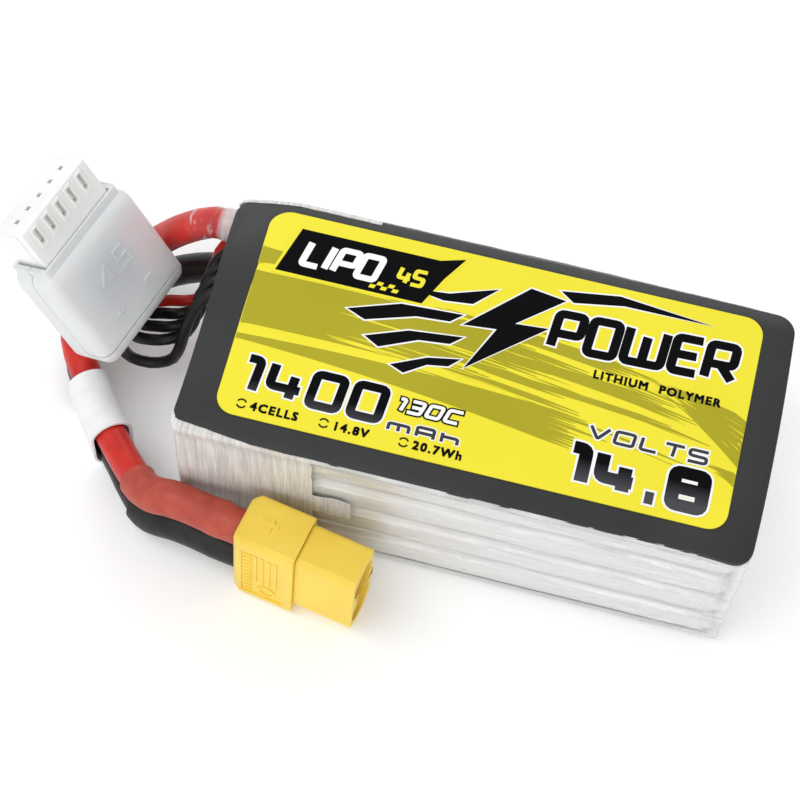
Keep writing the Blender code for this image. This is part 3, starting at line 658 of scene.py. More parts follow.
# ---- the pack
CELLS = [[corner[2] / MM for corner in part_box(f"cell_{k}")] for k in range(1, 5)]
CELL_GAPS = [(below[1] + above[0]) / 2 for below, above in zip(CELLS, CELLS[1:])]
FILM_TOP, FILM_BOTTOM, FILM_RADIUS = 27.05, 0.06, 1.7
FILM_START, FILM_RUN = -37.6, 75.4
FILM_FLAT, FILM_CORNER = 16.4, 16.5     # half the width of its flat top, and to where its corners turn
FILM_OUT, FILM_OUT_MOST = 18.22, 18.55  # how far its sides stand out
DRAW_HALF_Y, DRAW_HALF_Z = 18.3, 13.5   # the section that it is drawn in from at the plain end
PACK_MIDDLE = 13.55                     # height of the middle of the cells
COVER_HALF_X, COVER_HALF_Y = 39.0, 19.0
CELL_START, CELL_END = -29.5, 37.2
TAPE_START, TAPE_WIDTH = -38.9, 19.3


def crease(x, y, z, scale, seed):
    """Soft random folds, longer along the axes with a small scale."""
    where = Vector((x * scale[0], y * scale[1], z * scale[2]))
    return noise.fractal(where + Vector((seed, seed * 1.7, 0)), 0.6, 2.1, 3)


def part(value, start, end):
    """How far a value is from start to end, from 0 to 1."""
    return min(1.0, max(0.0, (value - start) / (end - start)))


def build_cell(index):
    """A pouch: rounded edges, and the sealed seam folded up against each long side."""
    low, high = CELLS[index]
    thick = high - low
    side = [(16.6, 0.0), (17.2, 0.12), (17.5, 0.45), (17.6, 1.0), (17.63, 1.8), (17.62, 2.5), (17.9, 2.62),
            (17.97, 3.2), (17.97, 4.2), (17.93, 4.9), (17.72, 5.0), (17.5, thick - 0.35),
            (17.1, thick - 0.08), (16.6, thick)]
    bm = bmesh.new()
    rings = []
    for k in range(67):
        x = CELL_START + (CELL_END - CELL_START) * k / 66
        ring = []
        near_end = min(x - CELL_START, CELL_END - x)
        pinch = 1.0 - 0.75 * max(0.0, 1.0 - near_end / 1.6) ** 2
        for sign in (-1, 1):
            points = side if sign > 0 else list(reversed(side))
            for y, h in points:
                wave = crease(x, sign * 40, low + h, (0.09, 1.0, 0.5), 3.7 * index)
                y_out = sign * (y + 0.16 * wave)
                z = low + thick / 2 + (h - thick / 2) * pinch + 0.05 * wave
                ring.append(Vector((x, y_out, min(max(z, low), high))) * MM)
        rings.append(ring)
    loft(bm, rings)
    terrace_z = low + thick / 2
    block(bm, (-32.0, -16.5, terrace_z - 0.3), (-29.3, 16.5, terrace_z + 0.3))
    mesh_piece(f"pouch_{index + 1}", bm, MATS["foil"], slot="pouch_foil", replaces=(f"cell_{index + 1}",))


def film_side(x, z, sign):
    """How far the film stands out at the side: drawn in between the cells, with tension wrinkles."""
    y = FILM_OUT
    for gap in CELL_GAPS:
        y -= 0.30 * math.exp(-((z - gap) / 0.75) ** 2)
    tail = max(0.0, (x - 30.0) / 8.7)
    y += 0.10 * crease(x, sign * 30, z, (0.06, 1.0, 0.55), 11.0)
    y += 0.22 * tail * crease(x, sign * 30, z, (0.35, 1.0, 0.8), 23.0)
    return sign * min(y, FILM_OUT_MOST)


def film_ring(x, inset=0.0):
    """The film's section at x; an inset draws it in towards the middle, past the plain end."""
    ring = []
    turns = [math.pi / 12 * k for k in range(1, 6)]
    for sign, start, end in ((1, FILM_TOP, FILM_BOTTOM), (-1, FILM_BOTTOM, FILM_TOP)):
        corner = FILM_CORNER * sign
        near = film_side(x, start - 2 * sign, sign) - corner
        far = film_side(x, end + 2 * sign, sign) - corner
        ring += [(sign * (2 * k / 24 - 1) * FILM_FLAT, start) for k in range(25)]
        ring += [(corner + near * math.sin(a), start - sign * FILM_RADIUS * (1 - math.cos(a))) for a in turns]
        for k in range(41):
            z = start - sign * (FILM_RADIUS + (FILM_TOP - FILM_BOTTOM - 2 * FILM_RADIUS) * k / 40)
            ring.append((film_side(x, z, sign), z))
        ring += [(corner + far * math.cos(a), end + sign * FILM_RADIUS * (1 - math.sin(a))) for a in turns]
    points = []
    for y, z in ring:
        if inset:
            ragged = inset * (1 + 0.25 * noise.noise(Vector((y * 0.25, z * 0.25, 5.0))))
            y = math.copysign(min(abs(y), DRAW_HALF_Y - ragged), y)
            above = z - PACK_MIDDLE
            z = PACK_MIDDLE + math.copysign(min(abs(above), DRAW_HALF_Z - ragged), above)
        points.append(Vector((x, y, z)) * MM)
    return points


def build_film():
    """The film's sleeve, ragged at the lead end and drawn in over the plain end."""
    rings = [film_ring(FILM_START + FILM_RUN * k / 76) for k in range(77)]
    for point in rings[0]:
        point.x += 0.9 * MM * noise.noise(Vector((0.0, point.y * 140, point.z * 140)))
    for x, inset in ((38.15, 0.15), (38.45, 0.45), (38.6, 0.9), (38.66, 1.6), (38.68, 2.4), (38.66, 3.2)):
        rings.append(film_ring(x, inset))
    film = lofted("film_sleeve", rings, MATS["film"], "open", slot="clear_film", replaces=("shrink_wrap",))
    wall = film.modifiers.new("wall", "SOLIDIFY")
    wall.thickness = 0.05 * MM
    wall.offset = -1.0


def cover_warp(x, y, z):
    """The lead end's far corner is pressed out and down, and the tail's near corner curls down a little."""
    push = part(x, -24.0, -39.0) * part(y, -12.0, 19.0) ** 1.5
    fold = part(x, -30.5, -39.0) ** 1.3 * part(y, 3.0, 19.0) ** 3
    curl = part(x, 31.0, 39.0) ** 1.5 * part(y, -9.0, -19.0) ** 1.5
    return Vector((x - 1.25 * push, y, z - 2.6 * fold - 1.0 * curl))


def follow_cover(x, y, z):
    """The same warp, for what lies against the cover's edge; it dies out below the cover."""
    held = max(-COVER_HALF_Y, min(COVER_HALF_Y, y))
    return Vector((x, y, z)).lerp(cover_warp(x, held, z) + Vector((0, y - held, 0)), part(z, 24.0, 27.8))


def film_rim(sign):
    """The edge of the film where it is drawn up beside the cover."""
    rings = []
    for k in range(70):
        x = -36.5 + 72.0 * k / 69
        ease = math.sin(math.pi * k / 69) ** 0.35
        reach = (0.42 if sign > 0 else 0.10) * ease
        ripple = 0.08 * crease(x, 0, sign * 9, (0.2, 1.0, 1.0), 31.0)
        y = 18.95 + reach + ripple
        ring = [(18.15, 25.2), (18.5, 26.6), (y, 27.7), (y + 0.02, 28.35), (y - 0.1, 28.62 + ripple),
                (y - 0.16, 28.6 + ripple), (y - 0.08, 28.3), (y - 0.07, 27.75), (18.42, 26.75), (18.05, 25.4)]
        rings.append([follow_cover(x, sign * py, pz) * MM for py, pz in ring])
    lofted(f"film_rim_{'back' if sign > 0 else 'front'}", rings, MATS["film_edge"], slot="clear_film")


def build_tape():
    """Both sides of the band, its run under the pack, and the strip that laps over the cover."""
    bm = bmesh.new()
    columns = 40
    for sign in (-1, 1):
        rings = []
        for k in range(columns + 1):
            x = TAPE_START + TAPE_WIDTH * k / columns
            lap = max(0.0, 1.0 - k / (columns * 0.62)) if sign < 0 else 0.35
            lap += 0.05 * noise.noise(Vector((x * 0.6, sign * 4.0, 0)))
            turn = max(0.0, (-38.1 - x) / 0.8)
            profile = [(19.12 - 1.35 * lap, 28.79), (19.12 - 0.7 * lap, 28.81), (19.12, 28.72), (19.16, 28.3),
                       (19.12, 27.8), (18.95, 27.0)]
            for j in range(15):
                z = 26.2 - 23.2 * j / 14
                y = 18.66 + 0.05 * noise.noise(Vector((x * 0.25, sign * 7.0, z * 0.3)))
                for gap in CELL_GAPS:
                    y -= 0.10 * math.exp(-((z - gap) / 0.9) ** 2)
                profile.append((y, z))
            profile += [(18.5, 1.9), (18.0, 0.9), (17.2, 0.3)] + [(y, 0.03) for y in (16.2, 12.0, 6.0, 0.0)]
            wall = 0.10
            inner = [(y - wall, max(z - (wall if n < 4 else 0.0), 0.03) + (0.05 if z < 0.1 else 0.0))
                     for n, (y, z) in enumerate(profile)]
            ring = []
            for y, z in profile + list(reversed(inner)):
                ragged = 0.0
                if k in (0, columns):
                    ragged = 0.22 * noise.noise(Vector((k, z * 0.6, sign * 2.0)))
                ring.append(follow_cover(x + ragged, sign * (y - 1.0 * turn ** 2), z) * MM)
            rings.append(ring)
        loft(bm, rings)
    mesh_piece("tape_band", bm, MATS["tape"], slot="filament_tape", replaces=("strapping_tape",))

    rings = []
    for k in range(9):
        x = -20.4 + 6.2 * k / 8
        top = 17.4 - 0.27 * math.sin(k * 0.9)
        rings.append([Vector((x, -y, z)) * MM for y, z in ((18.62, top), (18.60, 15.0), (18.58, 12.4),
                                                           (18.50, 12.4), (18.52, 15.0), (18.54, top))])
    lofted("tape_patch", rings, MATS["tape"], slot="filament_tape")


def build_ends():
    """Foam at the lead end, with a corner cut away for the leads, and the sheet at the plain end."""
    outline = [(-17.2, 1.0), (17.2, 1.0), (17.2, 9.8), (6.2, 9.8), (6.2, 26.4), (-17.2, 26.4)]
    rings = [[Vector((x, y, z)) * MM for y, z in outline] for x in (-38.9, -36.9)]
    lofted("foam_pad", rings, MATS["foam"], slot="foam", replaces=("lead_end_foam",), bevel=0.45 * MM, segments=3)
    outline = rounded_rect(16.0, 12.05, 1.5)
    rings = [[Vector((x, y, z + PACK_MIDDLE)) * MM for y, z in outline] for x in (37.5, 38.2)]
    lofted("tail_sheet", rings, MATS["foam"], slot="foam", replaces=("tail_foam",), bevel=0.2 * MM)


def paint_nodes():
    """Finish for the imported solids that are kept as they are."""
    finishes = {"board": ["bottom_board"], "foam": ["cell_spacer_1", "cell_spacer_2", "cell_spacer_3"],
                "nickel": ["negative_tab", "positive_tab"], "pcb": ["balance_board"],
                "copper": ["series_link_1", "series_link_2", "series_link_3"]}
    for mat, nodes in finishes.items():
        for node in nodes:
            for material_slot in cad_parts[node].material_slots:
                material_slot.material = MATS[mat]


for cell in range(4):
    build_cell(cell)
build_film()
film_rim(1)
film_rim(-1)
build_tape()
build_ends()
paint_nodes()


# ---- thin plates that follow the cover
def holds(outline, x, y):
    """Whether a place is inside an outline."""
    inside = False
    for (ax, ay), (bx, by) in zip(outline, outline[1:] + outline[:1]):
        if (ay > y) != (by > y) and x < ax + (bx - ax) * (y - ay) / (by - ay):
            inside = not inside
    return inside


def fill(bm, outline, verts, height):
    """Close a plate's face with small triangles, so that it can follow the cover's warp."""
    points = [Vector(p) for p in outline]
    edges = [(k, (k + 1) % len(points)) for k in range(len(points))]
    inner = [(x * 0.985, y * 0.985) for x, y in outline]
    grid = [(column * 3.0, row * 2.7) for column in range(-13, 14) for row in range(-7, 8)]
    points += [Vector(place) for place in grid if holds(inner, *place)]
    triangles = delaunay_2d_cdt(points, edges, [], 1, 1e-4)[2]
    verts = list(verts) + [bm.verts.new(cover_warp(p.x, p.y, height) * MM) for p in points[len(outline):]]
    for triangle in triangles:
        bm.faces.new([verts[k] for k in triangle])


def plate(name, outline, levels, mat, slot, replaces):
    """A thin plate with the cover's warp: the same outline at several insets and heights."""
    bm = bmesh.new()
    rows = loft(bm, [[cover_warp(x, y, z) * MM for x, y in outline(inset)] for inset, z in levels], "open")
    for end in (0, -1):
        inset, height = levels[end]
        fill(bm, outline(inset), rows[end], height)
    mesh_piece(name, bm, mat, slot=slot, replaces=replaces)


def dense(outline):
    """The outline with points no more than 2 mm apart."""
    made = []
    for a, b in zip(outline, outline[1:] + outline[:1]):
        steps = max(1, math.ceil(math.hypot(b[0] - a[0], b[1] - a[1]) / 2.0))
        made += [(a[0] + (b[0] - a[0]) * k / steps, a[1] + (b[1] - a[1]) * k / steps) for k in range(steps)]
    return made


COVER_OUTLINE = dense(rounded_rect(COVER_HALF_X, COVER_HALF_Y, 2.6, 8))


def cover_outline(inset):
    """The cover's outline; its plain end bows out in the middle."""
    shrink_x, shrink_y = (COVER_HALF_X - inset) / COVER_HALF_X, (COVER_HALF_Y - inset) / COVER_HALF_Y
    return [(x * shrink_x - (0.4 * (y / COVER_HALF_Y) ** 2 if x > 0 else 0.0), y * shrink_y)
            for x, y in COVER_OUTLINE]


COVER_LOW, COVER_HIGH = 27.9, 28.7
LABEL_CENTRE = (0.2, 1.0)
LABEL_LOW, LABEL_HIGH = 28.72, 28.9
LABEL_HALF = (34.3, 16.3)


def label_outline(inset):
    return [(x + LABEL_CENTRE[0], y + LABEL_CENTRE[1])
            for x, y in rounded_rect(LABEL_HALF[0] - inset, LABEL_HALF[1] - inset, 2.7 - inset, 8)]


plate("cover", cover_outline, [(0.18, COVER_LOW), (0.0, COVER_LOW + 0.2), (0.0, COVER_HIGH - 0.22),
                               (0.08, COVER_HIGH - 0.07), (0.24, COVER_HIGH)],
      MATS["cover"], "cover_board", ("top_cover",))


# ---- the label's print
INK_HEIGHTS = {"olive": 28.915, "white_edge": 28.930, "yellow_edge": 28.931, "black": 28.945, "grey": 28.946,
               "fade": 28.947, "white": 28.960, "yellow": 28.961}
INK_THICKNESS = 0.012
LABEL_LEFT, LABEL_RIGHT = -34.1, 34.5
BOLD = 0.075                        # how far small print is spread to each side
shapes = {name: [] for name in [*INK_HEIGHTS, "scratch"]}


def turns_left(outline):
    """Whether an outline runs anticlockwise."""
    return sum(a[0] * b[1] - b[0] * a[1] for a, b in zip(outline, outline[1:] + outline[:1])) > 0


def shape(ink, outline):
    """A printed shape from an outline of label x and y."""
    shapes[ink].append(list(outline) if turns_left(outline) else list(reversed(outline)))


class Cover:
    """Outlines sorted into 2 mm squares, to find quickly whether a place is under one of them."""

    def __init__(self, outlines):
        self.squares = {}
        for outline in outlines:
            xs, ys = [p[0] for p in outline], [p[1] for p in outline]
            for column in range(math.floor(min(xs) / 2), math.floor(max(xs) / 2) + 1):
                for row in range(math.floor(min(ys) / 2), math.floor(max(ys) / 2) + 1):
                    self.squares.setdefault((column, row), []).append(outline)

    def holds(self, x, y):
        square = (math.floor(x / 2), math.floor(y / 2))
        return any(holds(outline, x, y) for outline in self.squares.get(square, ()))


def print_ink(ink, mat, scratches=()):
    """All of one ink's shapes as one thin sheet that follows the label, without its scratches."""
    points, edges = [], []
    for outline in [*shapes[ink], *scratches]:
        start, count = len(points), len(outline)
        points += [Vector(p) for p in outline]
        edges += [(start + k, start + (k + 1) % count) for k in range(count)]
    # lines across and along the label, so that long shapes follow the warp too
    lines = [((-36.0, k * 3.0), (36.0, k * 3.0)) for k in range(-5, 7)]
    lines += [((k * 6.0, -17.0), (k * 6.0, 19.0)) for k in range(-6, 7)]
    for line in lines:
        edges.append((len(points), len(points) + 1))
        points += [Vector(end) for end in line]
    places, _, triangles = delaunay_2d_cdt(points, edges, [], 0, 1e-4)[:3]
    inked, scratched = Cover(shapes[ink]), Cover(scratches)
    kept = []
    for a, b, c in triangles:
        middle = (places[a] + places[b] + places[c]) / 3
        if inked.holds(*middle) and not scratched.holds(*middle):
            kept.append((a, b, c))
    bm = bmesh.new()
    top, low = {}, {}
    height = INK_HEIGHTS[ink]
    for k in sorted({k for t in kept for k in t}):
        x, y = places[k]
        top[k] = bm.verts.new(cover_warp(x, y, height) * MM)
        low[k] = bm.verts.new(cover_warp(x, y, height - INK_THICKNESS) * MM)
    used = {}                       # a dict, to keep the order
    for a, b, c in kept:
        bm.faces.new((top[a], top[b], top[c]))
        bm.faces.new((low[c], low[b], low[a]))
        used.update(dict.fromkeys(((a, b), (b, c), (c, a))))
    for start, end in used:
        if (end, start) not in used:
            bm.faces.new((top[start], low[start], low[end], top[end]))
    mesh_piece(f"print_{ink}", bm, mat, slot="label_ink")


def offset_path(points, distance, closed):
    """The path moved sideways by a distance, with mitred corners."""
    made = []
    count = len(points)
    for k, point in enumerate(points):
        here = Vector(point)
        normals = []
        if k or closed:
            run = (here - Vector(points[k - 1])).normalized()
            normals.append(Vector((-run.y, run.x)))
        if k < count - 1 or closed:
            run = (Vector(points[(k + 1) % count]) - here).normalized()
            normals.append(Vector((-run.y, run.x)))
        normal = (normals[0] + normals[-1]).normalized()
        made.append(here + normal * (distance / max(0.5, normal.dot(normals[0]))))
    return made


def soften(points, radius, closed):
    """Round a path's corners."""
    made = []
    count = len(points)
    for k, point in enumerate(points):
        if not closed and k in (0, count - 1):
            made.append(Vector(point))
            continue
        here, before, after = Vector(point), Vector(points[k - 1]), Vector(points[(k + 1) % count])
        short = min(radius, (before - here).length * 0.45, (after - here).length * 0.45)
        start, end = here + (before - here).normalized() * short, here + (after - here).normalized() * short
        for step in range(5):
            t = step / 4
            made.append(start * (1 - t) ** 2 + here * 2 * t * (1 - t) + end * t ** 2)
    return made


def stroke(ink, points, width, closed=False, grow=0.0):
    """One pen stroke; grow widens it and lengthens its ends, for an edge round it."""
    points = [Vector(p) for p in points]
    if not closed:
        points[0] = points[0] + (points[0] - points[1]).normalized() * grow
        points[-1] = points[-1] + (points[-1] - points[-2]).normalized() * grow
    left = offset_path(points, width / 2 + grow, closed)
    right = offset_path(points, -(width / 2 + grow), closed)
    for k in range(len(points) if closed else len(points) - 1):
        after = (k + 1) % len(points)
        shape(ink, [right[k], right[after], left[after], left[k]])


# Drawn characters in a box that is 1 high: the advance, then pen paths. A path that ends where it
# starts is closed.
GLYPHS = {
    "0": (0.98, [(0, 0), (0.8, 0), (0.8, 1), (0, 1), (0, 0)]),
    "1": (0.56, [(0, 1), (0.36, 1), (0.36, 0)]),
    "3": (0.98, [(0, 1), (0.8, 1), (0.8, 0), (0, 0)], [(0.14, 0.5), (0.8, 0.5)]),
    "4": (1, [(0, 1), (0, 0.3), (0.88, 0.3)], [(0.64, 0.72), (0.64, 0)]),
    "8": (0.98, [(0, 0), (0.8, 0), (0.8, 1), (0, 1), (0, 0)], [(0, 0.52), (0.8, 0.52)]),
    ".": (0.42, [(0, 0), (0.24, 0)]),
    "A": (1, [(0, 0), (0, 1), (0.82, 1), (0.82, 0)], [(0, 0.42), (0.82, 0.42)]),
    "C": (0.98, [(0.84, 1), (0, 1), (0, 0), (0.84, 0)]),
    "E": (0.92, [(0.78, 1), (0, 1), (0, 0), (0.78, 0)], [(0, 0.5), (0.7, 0.5)]),
    "I": (0.34, [(0.06, 1), (0.06, 0)]),
    "L": (0.86, [(0, 1), (0, 0), (0.7, 0)]),
    "O": (1, [(0, 0), (0.82, 0), (0.82, 1), (0, 1), (0, 0)]),
    "P": (0.96, [(0, 0), (0, 1), (0.8, 1), (0.8, 0.4), (0, 0.4)]),
    "R": (0.98, [(0, 0), (0, 1), (0.8, 1), (0.8, 0.42), (0, 0.42)], [(0.4, 0.42), (0.84, 0)]),
    "S": (0.96, [(0.78, 1), (0, 1), (0, 0.52), (0.78, 0.48), (0.78, 0), (0, 0)]),
    "T": (0.94, [(0, 1), (0.82, 1)], [(0.41, 1), (0.41, 0)]),
    "V": (1, [(0, 1), (0.42, 0), (0.84, 1)]),
    "W": (1.34, [(0, 1), (0, 0), (1.16, 0), (1.16, 1)], [(0.58, 0.8), (0.58, 0)]),
    "m": (1.16, [(0, 0), (0, 0.72), (0.98, 0.72), (0.98, 0)], [(0.49, 0.72), (0.49, 0)]),
    "h": (0.92, [(0, 1), (0, 0)], [(0, 0.62), (0.76, 0.62), (0.76, 0)]),
}


def word(text, start, height, weight, ink, edge=None, border=0.25, wide=1.0, lean=0.0, turn=0.0, gap=0.0,
         corner=0.16):
    """Draw a word in strokes; height is between the pen's middle lines."""
    spin = Matrix.Rotation(math.radians(turn), 2)
    pen = 0.0
    for character in text:
        advance, *paths = GLYPHS[character]
        for path in paths:
            closed = path[0] == path[-1]
            path = path[:-1] if closed else path
            placed = [spin @ Vector(((pen + u) * height * wide + v * height * lean, v * height)) + Vector(start)
                      for u, v in soften(path, corner, closed)]
            if edge:
                stroke(edge, placed, weight, closed, border)
            stroke(ink, placed, weight, closed)
        pen += advance + gap


def typed(text, start, size, spacing):
    """Small black print, from the plain built-in letters."""
    curve = bpy.data.curves.new("type", "FONT")
    curve.body = text
    curve.size = size
    curve.space_character = spacing
    curve.resolution_u = 2
    written = bpy.data.objects.new("type", curve)
    link(written)
    mesh = baked(written)
    for up in (-BOLD, BOLD):
        for across in (-BOLD, BOLD):
            for face in mesh.polygons:
                corners = [mesh.vertices[k].co for k in face.vertices]
                shape("black", [(start[0] + across + co.x, start[1] + up + co.y) for co in corners])
    bpy.data.objects.remove(written, do_unlink=True)
    bpy.data.curves.remove(curve)
    bpy.data.meshes.remove(mesh)


def flow(u, y0):
    """Label x and y of a place along a brush line that leaves the left edge at y0."""
    return min(LABEL_LEFT + u, LABEL_RIGHT - 0.03), y0 - 0.02 * u - 0.0014 * u * u


def brush(ink, start, end, left, right, ragged, seed, open_left=False, bristle=0.42, open_right=True):
    """A dry brush stroke of side-by-side bristles; left and right are its (low, high) at its ends."""
    draw = random.Random(seed)
    count = max(1, round(max(left[1] - left[0], right[1] - right[0]) / bristle))
    steps = max(3, round((end - start) / 4))
    for j in range(count):
        first = start - (ragged * draw.random() ** 1.6 if open_left else 0.0)
        last = end + ragged * draw.random() ** 1.6
        low, high = [], []
        for k in range(steps + 1):
            t = k / steps
            u = first + (last - first) * t
            share = part(u, start, end)
            base = left[0] + (right[0] - left[0]) * share
            thick = (left[1] - left[0] + (right[1] - right[0] - left[1] + left[0]) * share) / count
            taper = 0.25 if (k == steps and open_right) or (k == 0 and open_left) else 1.04
            middle = base + thick * (j + 0.5)
            low.append(flow(u, middle - thick * taper / 2))
            high.append(flow(u, middle + thick * taper / 2))
        for k in range(steps):
            shape(ink, [low[k], low[k + 1], high[k + 1], high[k]])


def paint_strokes():
    """The long strokes, then streaks between them and scratches through them."""
    brush("olive", 0.04, 4.5, (8.3, 10.9), (8.7, 10.7), 3.5, 1)
    brush("olive", 0.04, 34.0, (-1.5, 6.9), (0.2, 8.6), 14.0, 2)
    brush("olive", 0.04, 46.0, (-4.0, -3.2), (-4.9, 0.2), 7.0, 3)
    brush("olive", 30.0, 52.0, (8.0, 9.4), (8.3, 10.4), 6.0, 4, True)
    brush("olive", 33.0, 55.0, (4.6, 5.6), (5.2, 7.2), 8.0, 5, True)
    brush("olive", 36.0, 58.0, (1.9, 2.8), (3.4, 4.3), 9.0, 6, True)
    brush("olive", 58.5, 68.7, (8.2, 10.0), (2.4, 9.9), 6.0, 7, True, 0.5, False)
    brush("olive", 66.0, 68.7, (0.2, 1.2), (-0.4, 1.4), 3.0, 8, True, 0.3, False)
    draw = random.Random(21)
    for k in range(34):
        start = 16.0 + 44.0 * draw.random()
        y0 = -3.5 + 14.0 * draw.random()
        wide = 0.10 + 0.26 * draw.random()
        end = min(start + 3.0 + 10.0 * draw.random(), 66.0)
        brush("olive", start, end, (y0, y0 + wide), (y0, y0 + wide * 0.7), 1.5, 100 + k, True)
    for k in range(20):
        start = 12.0 + 20.0 * draw.random()
        y0 = -0.6 + 7.0 * draw.random() * draw.random()
        wide = 0.10 + 0.22 * draw.random()
        end = start + 5.0 + 14.0 * draw.random()
        brush("scratch", start, end, (y0, y0 + wide), (y0, y0 + wide * 0.8), 1.5, 200 + k, True)


def paint_badge():
    """A slanted plate with a checkered tail, top left."""
    base = [(-31.2, 8.0), (-11.6, 8.0), (-9.6, 12.4), (-7.6, 15.6), (-10.4, 14.6), (-29.4, 14.6)]
    for ink, grow in (("yellow_edge", -0.75), ("black", -0.35)):
        shape(ink, offset_path(base, grow, True))
    word("LIPO", (-28.6, 9.5), 3.6, 0.92, "white", wide=0.86, lean=0.20, gap=0.08, corner=0.14)
    word("4S", (-15.6, 10.2), 2.3, 0.60, "yellow", wide=0.8, lean=0.20, gap=0.10, corner=0.14)
    for row in range(2):
        for column in range(5):
            if (row + column) % 2 == 0:
                x, y = -19.0 + column * 0.8 + row * 0.17, 8.25 + row * 0.62
                shape("yellow", [(x, y), (x + 0.8, y), (x + 0.97, y + 0.58), (x + 0.17, y + 0.58)])


def blade(*points, border=0.24):
    """A sharp black shape with a light edge round it."""
    shape("white_edge", offset_path(points, -border if turns_left(points) else border, True))
    shape("black", points)


def paint_emblem():
    """A lightning bolt with speed lines behind it."""
    blade((-20.9, 4.3), (-14.0, 6.9), (-5.4, 7.4), (-7.0, 5.9), (-11.6, 5.5), (-18.2, 3.2))
    blade((-17.6, 0.8), (-12.0, 3.1), (-4.6, 4.0), (-6.2, 2.5), (-10.4, 2.0), (-15.4, -0.4))
    blade((-13.2, -2.6), (-8.6, -0.3), (-4.2, 0.6), (-5.6, -0.9), (-8.4, -1.4), (-11.2, -3.4))
    blade((-13.0, 9.6), (-8.0, 10.2), (-1.6, 12.6), (-4.6, 9.4), (-8.6, 8.9))
    blade((2.6, 13.9), (-5.2, 5.9), (-0.6, 6.4), (-3.6, -0.6), (6.2, 8.3), (1.6, 7.9), (7.6, 13.2))
    blade((6.6, 14.6), (14.6, 15.9), (27.6, 14.6), (15.4, 14.5), (8.6, 13.2))


def paint_words():
    """What the object is, and its ratings."""
    word("POWER", (6.9, 5.9), 5.2, 1.30, "black", "white_edge", 0.26, 0.84, 0.10, turn=2.2, gap=0.14)
    typed("LITHIUM  POLYMER", (13.4, 2.55), 1.70, 1.20)
    word("VOLTS", (14.6, -6.3), 1.75, 0.46, "grey", "white_edge", 0.22, 1.72, 0.10, gap=0.16)
    word("14.8", (13.2, -13.0), 4.8, 1.80, "fade", "white_edge", 0.30, 1.02, 0.0, gap=0.27)
    word("1400", (-31.6, -11.2), 4.65, 1.26, "fade", "white_edge", 0.26, 1.01, 0.06, gap=0.22)
    word("130C", (-10.9, -9.0), 1.75, 0.50, "white", "black", 0.22, 1.20, 0.28, gap=0.22)
    word("mAh", (-11.1, -12.1), 1.35, 0.46, "grey", "white_edge", 0.16, 2.05, 0.0, gap=0.22)
    for x, text in ((-30.6, "4CELLS"), (-19.4, "14.8V"), (-8.6, "20.7Wh")):
        for start in (25, 205):
            angles = [math.radians(start + a) for a in range(0, 131, 13)]
            stroke("black", [(x + 0.62 * math.cos(a), -13.45 + 0.62 * math.sin(a)) for a in angles], 0.22)
        typed(text, (x + 1.25, -14.08), 1.72, 1.24)


def ink_material(name, first, second, low=0.0, high=1.0):
    """Printed ink; the two colours run from one height on the label to another."""
    g = Graph(name, Specular_IOR_Level=0.05)
    where = g.place()
    grain = g.noise(where, 9.0, 3.0, 0.6)
    g.put("Base Color", g.mix(g.span(g.axis(where, "Y"), low, high), first, second))
    g.put("Roughness", g.span(grain, 0.3, 0.7, 0.30, 0.40))
    return g.mat


def label_material(name, dark, light):
    g = Graph(name, Specular_IOR_Level=0.2)
    where = g.place()
    dots = g.noise(where, 8.0, 3.0, 0.6)
    cloud = g.noise(where, 0.05, 2.0)
    g.put("Base Color", g.mix(g.span(cloud, 0.3, 0.7), dark, light))
    g.put("Roughness", g.span(dots, 0.3, 0.7, 0.32, 0.42))
    g.put("Normal", g.bump(dots, 0.06, 0.02))
    return g.mat


def build_label():
    yellow = label_material("label_yellow", (0.83, 0.73, 0.035), (0.87, 0.77, 0.043))
    black = ink_material("label_black", (0.004, 0.004, 0.005), (0.003, 0.003, 0.004))
    white = ink_material("label_white", (0.88, 0.88, 0.88), (0.92, 0.92, 0.92))
    plate("label", label_outline, [(0.0, LABEL_LOW), (0.0, LABEL_HIGH - 0.04), (0.04, LABEL_HIGH)],
          yellow, "label_ink", ("printed_label",))
    paint_strokes()
    paint_badge()
    paint_emblem()
    paint_words()
    olive = label_material("label_olive", (0.39, 0.345, 0.014), (0.43, 0.385, 0.019))
    print_ink("olive", olive, shapes["scratch"])
    print_ink("white_edge", white)
    print_ink("yellow_edge", yellow)
    print_ink("black", black)
    print_ink("grey", ink_material("label_grey", (0.050, 0.050, 0.058), (0.022, 0.022, 0.028)))
    print_ink("fade", ink_material("label_fade", (0.070, 0.070, 0.078), (0.003, 0.003, 0.004), -12.8, -9.6))
    print_ink("white", white)
    print_ink("yellow", yellow)


build_label()


# ---- plastics
def moulded(name, dark, light, **sockets):
    """Moulded plastic: nearly even colour, very fine spark texture."""
    return varied(name, dark, light, (0.34, 0.46), (7.0, 4.0, 0.6), (0.10, 0.03), (0.12, 3.0), **sockets)


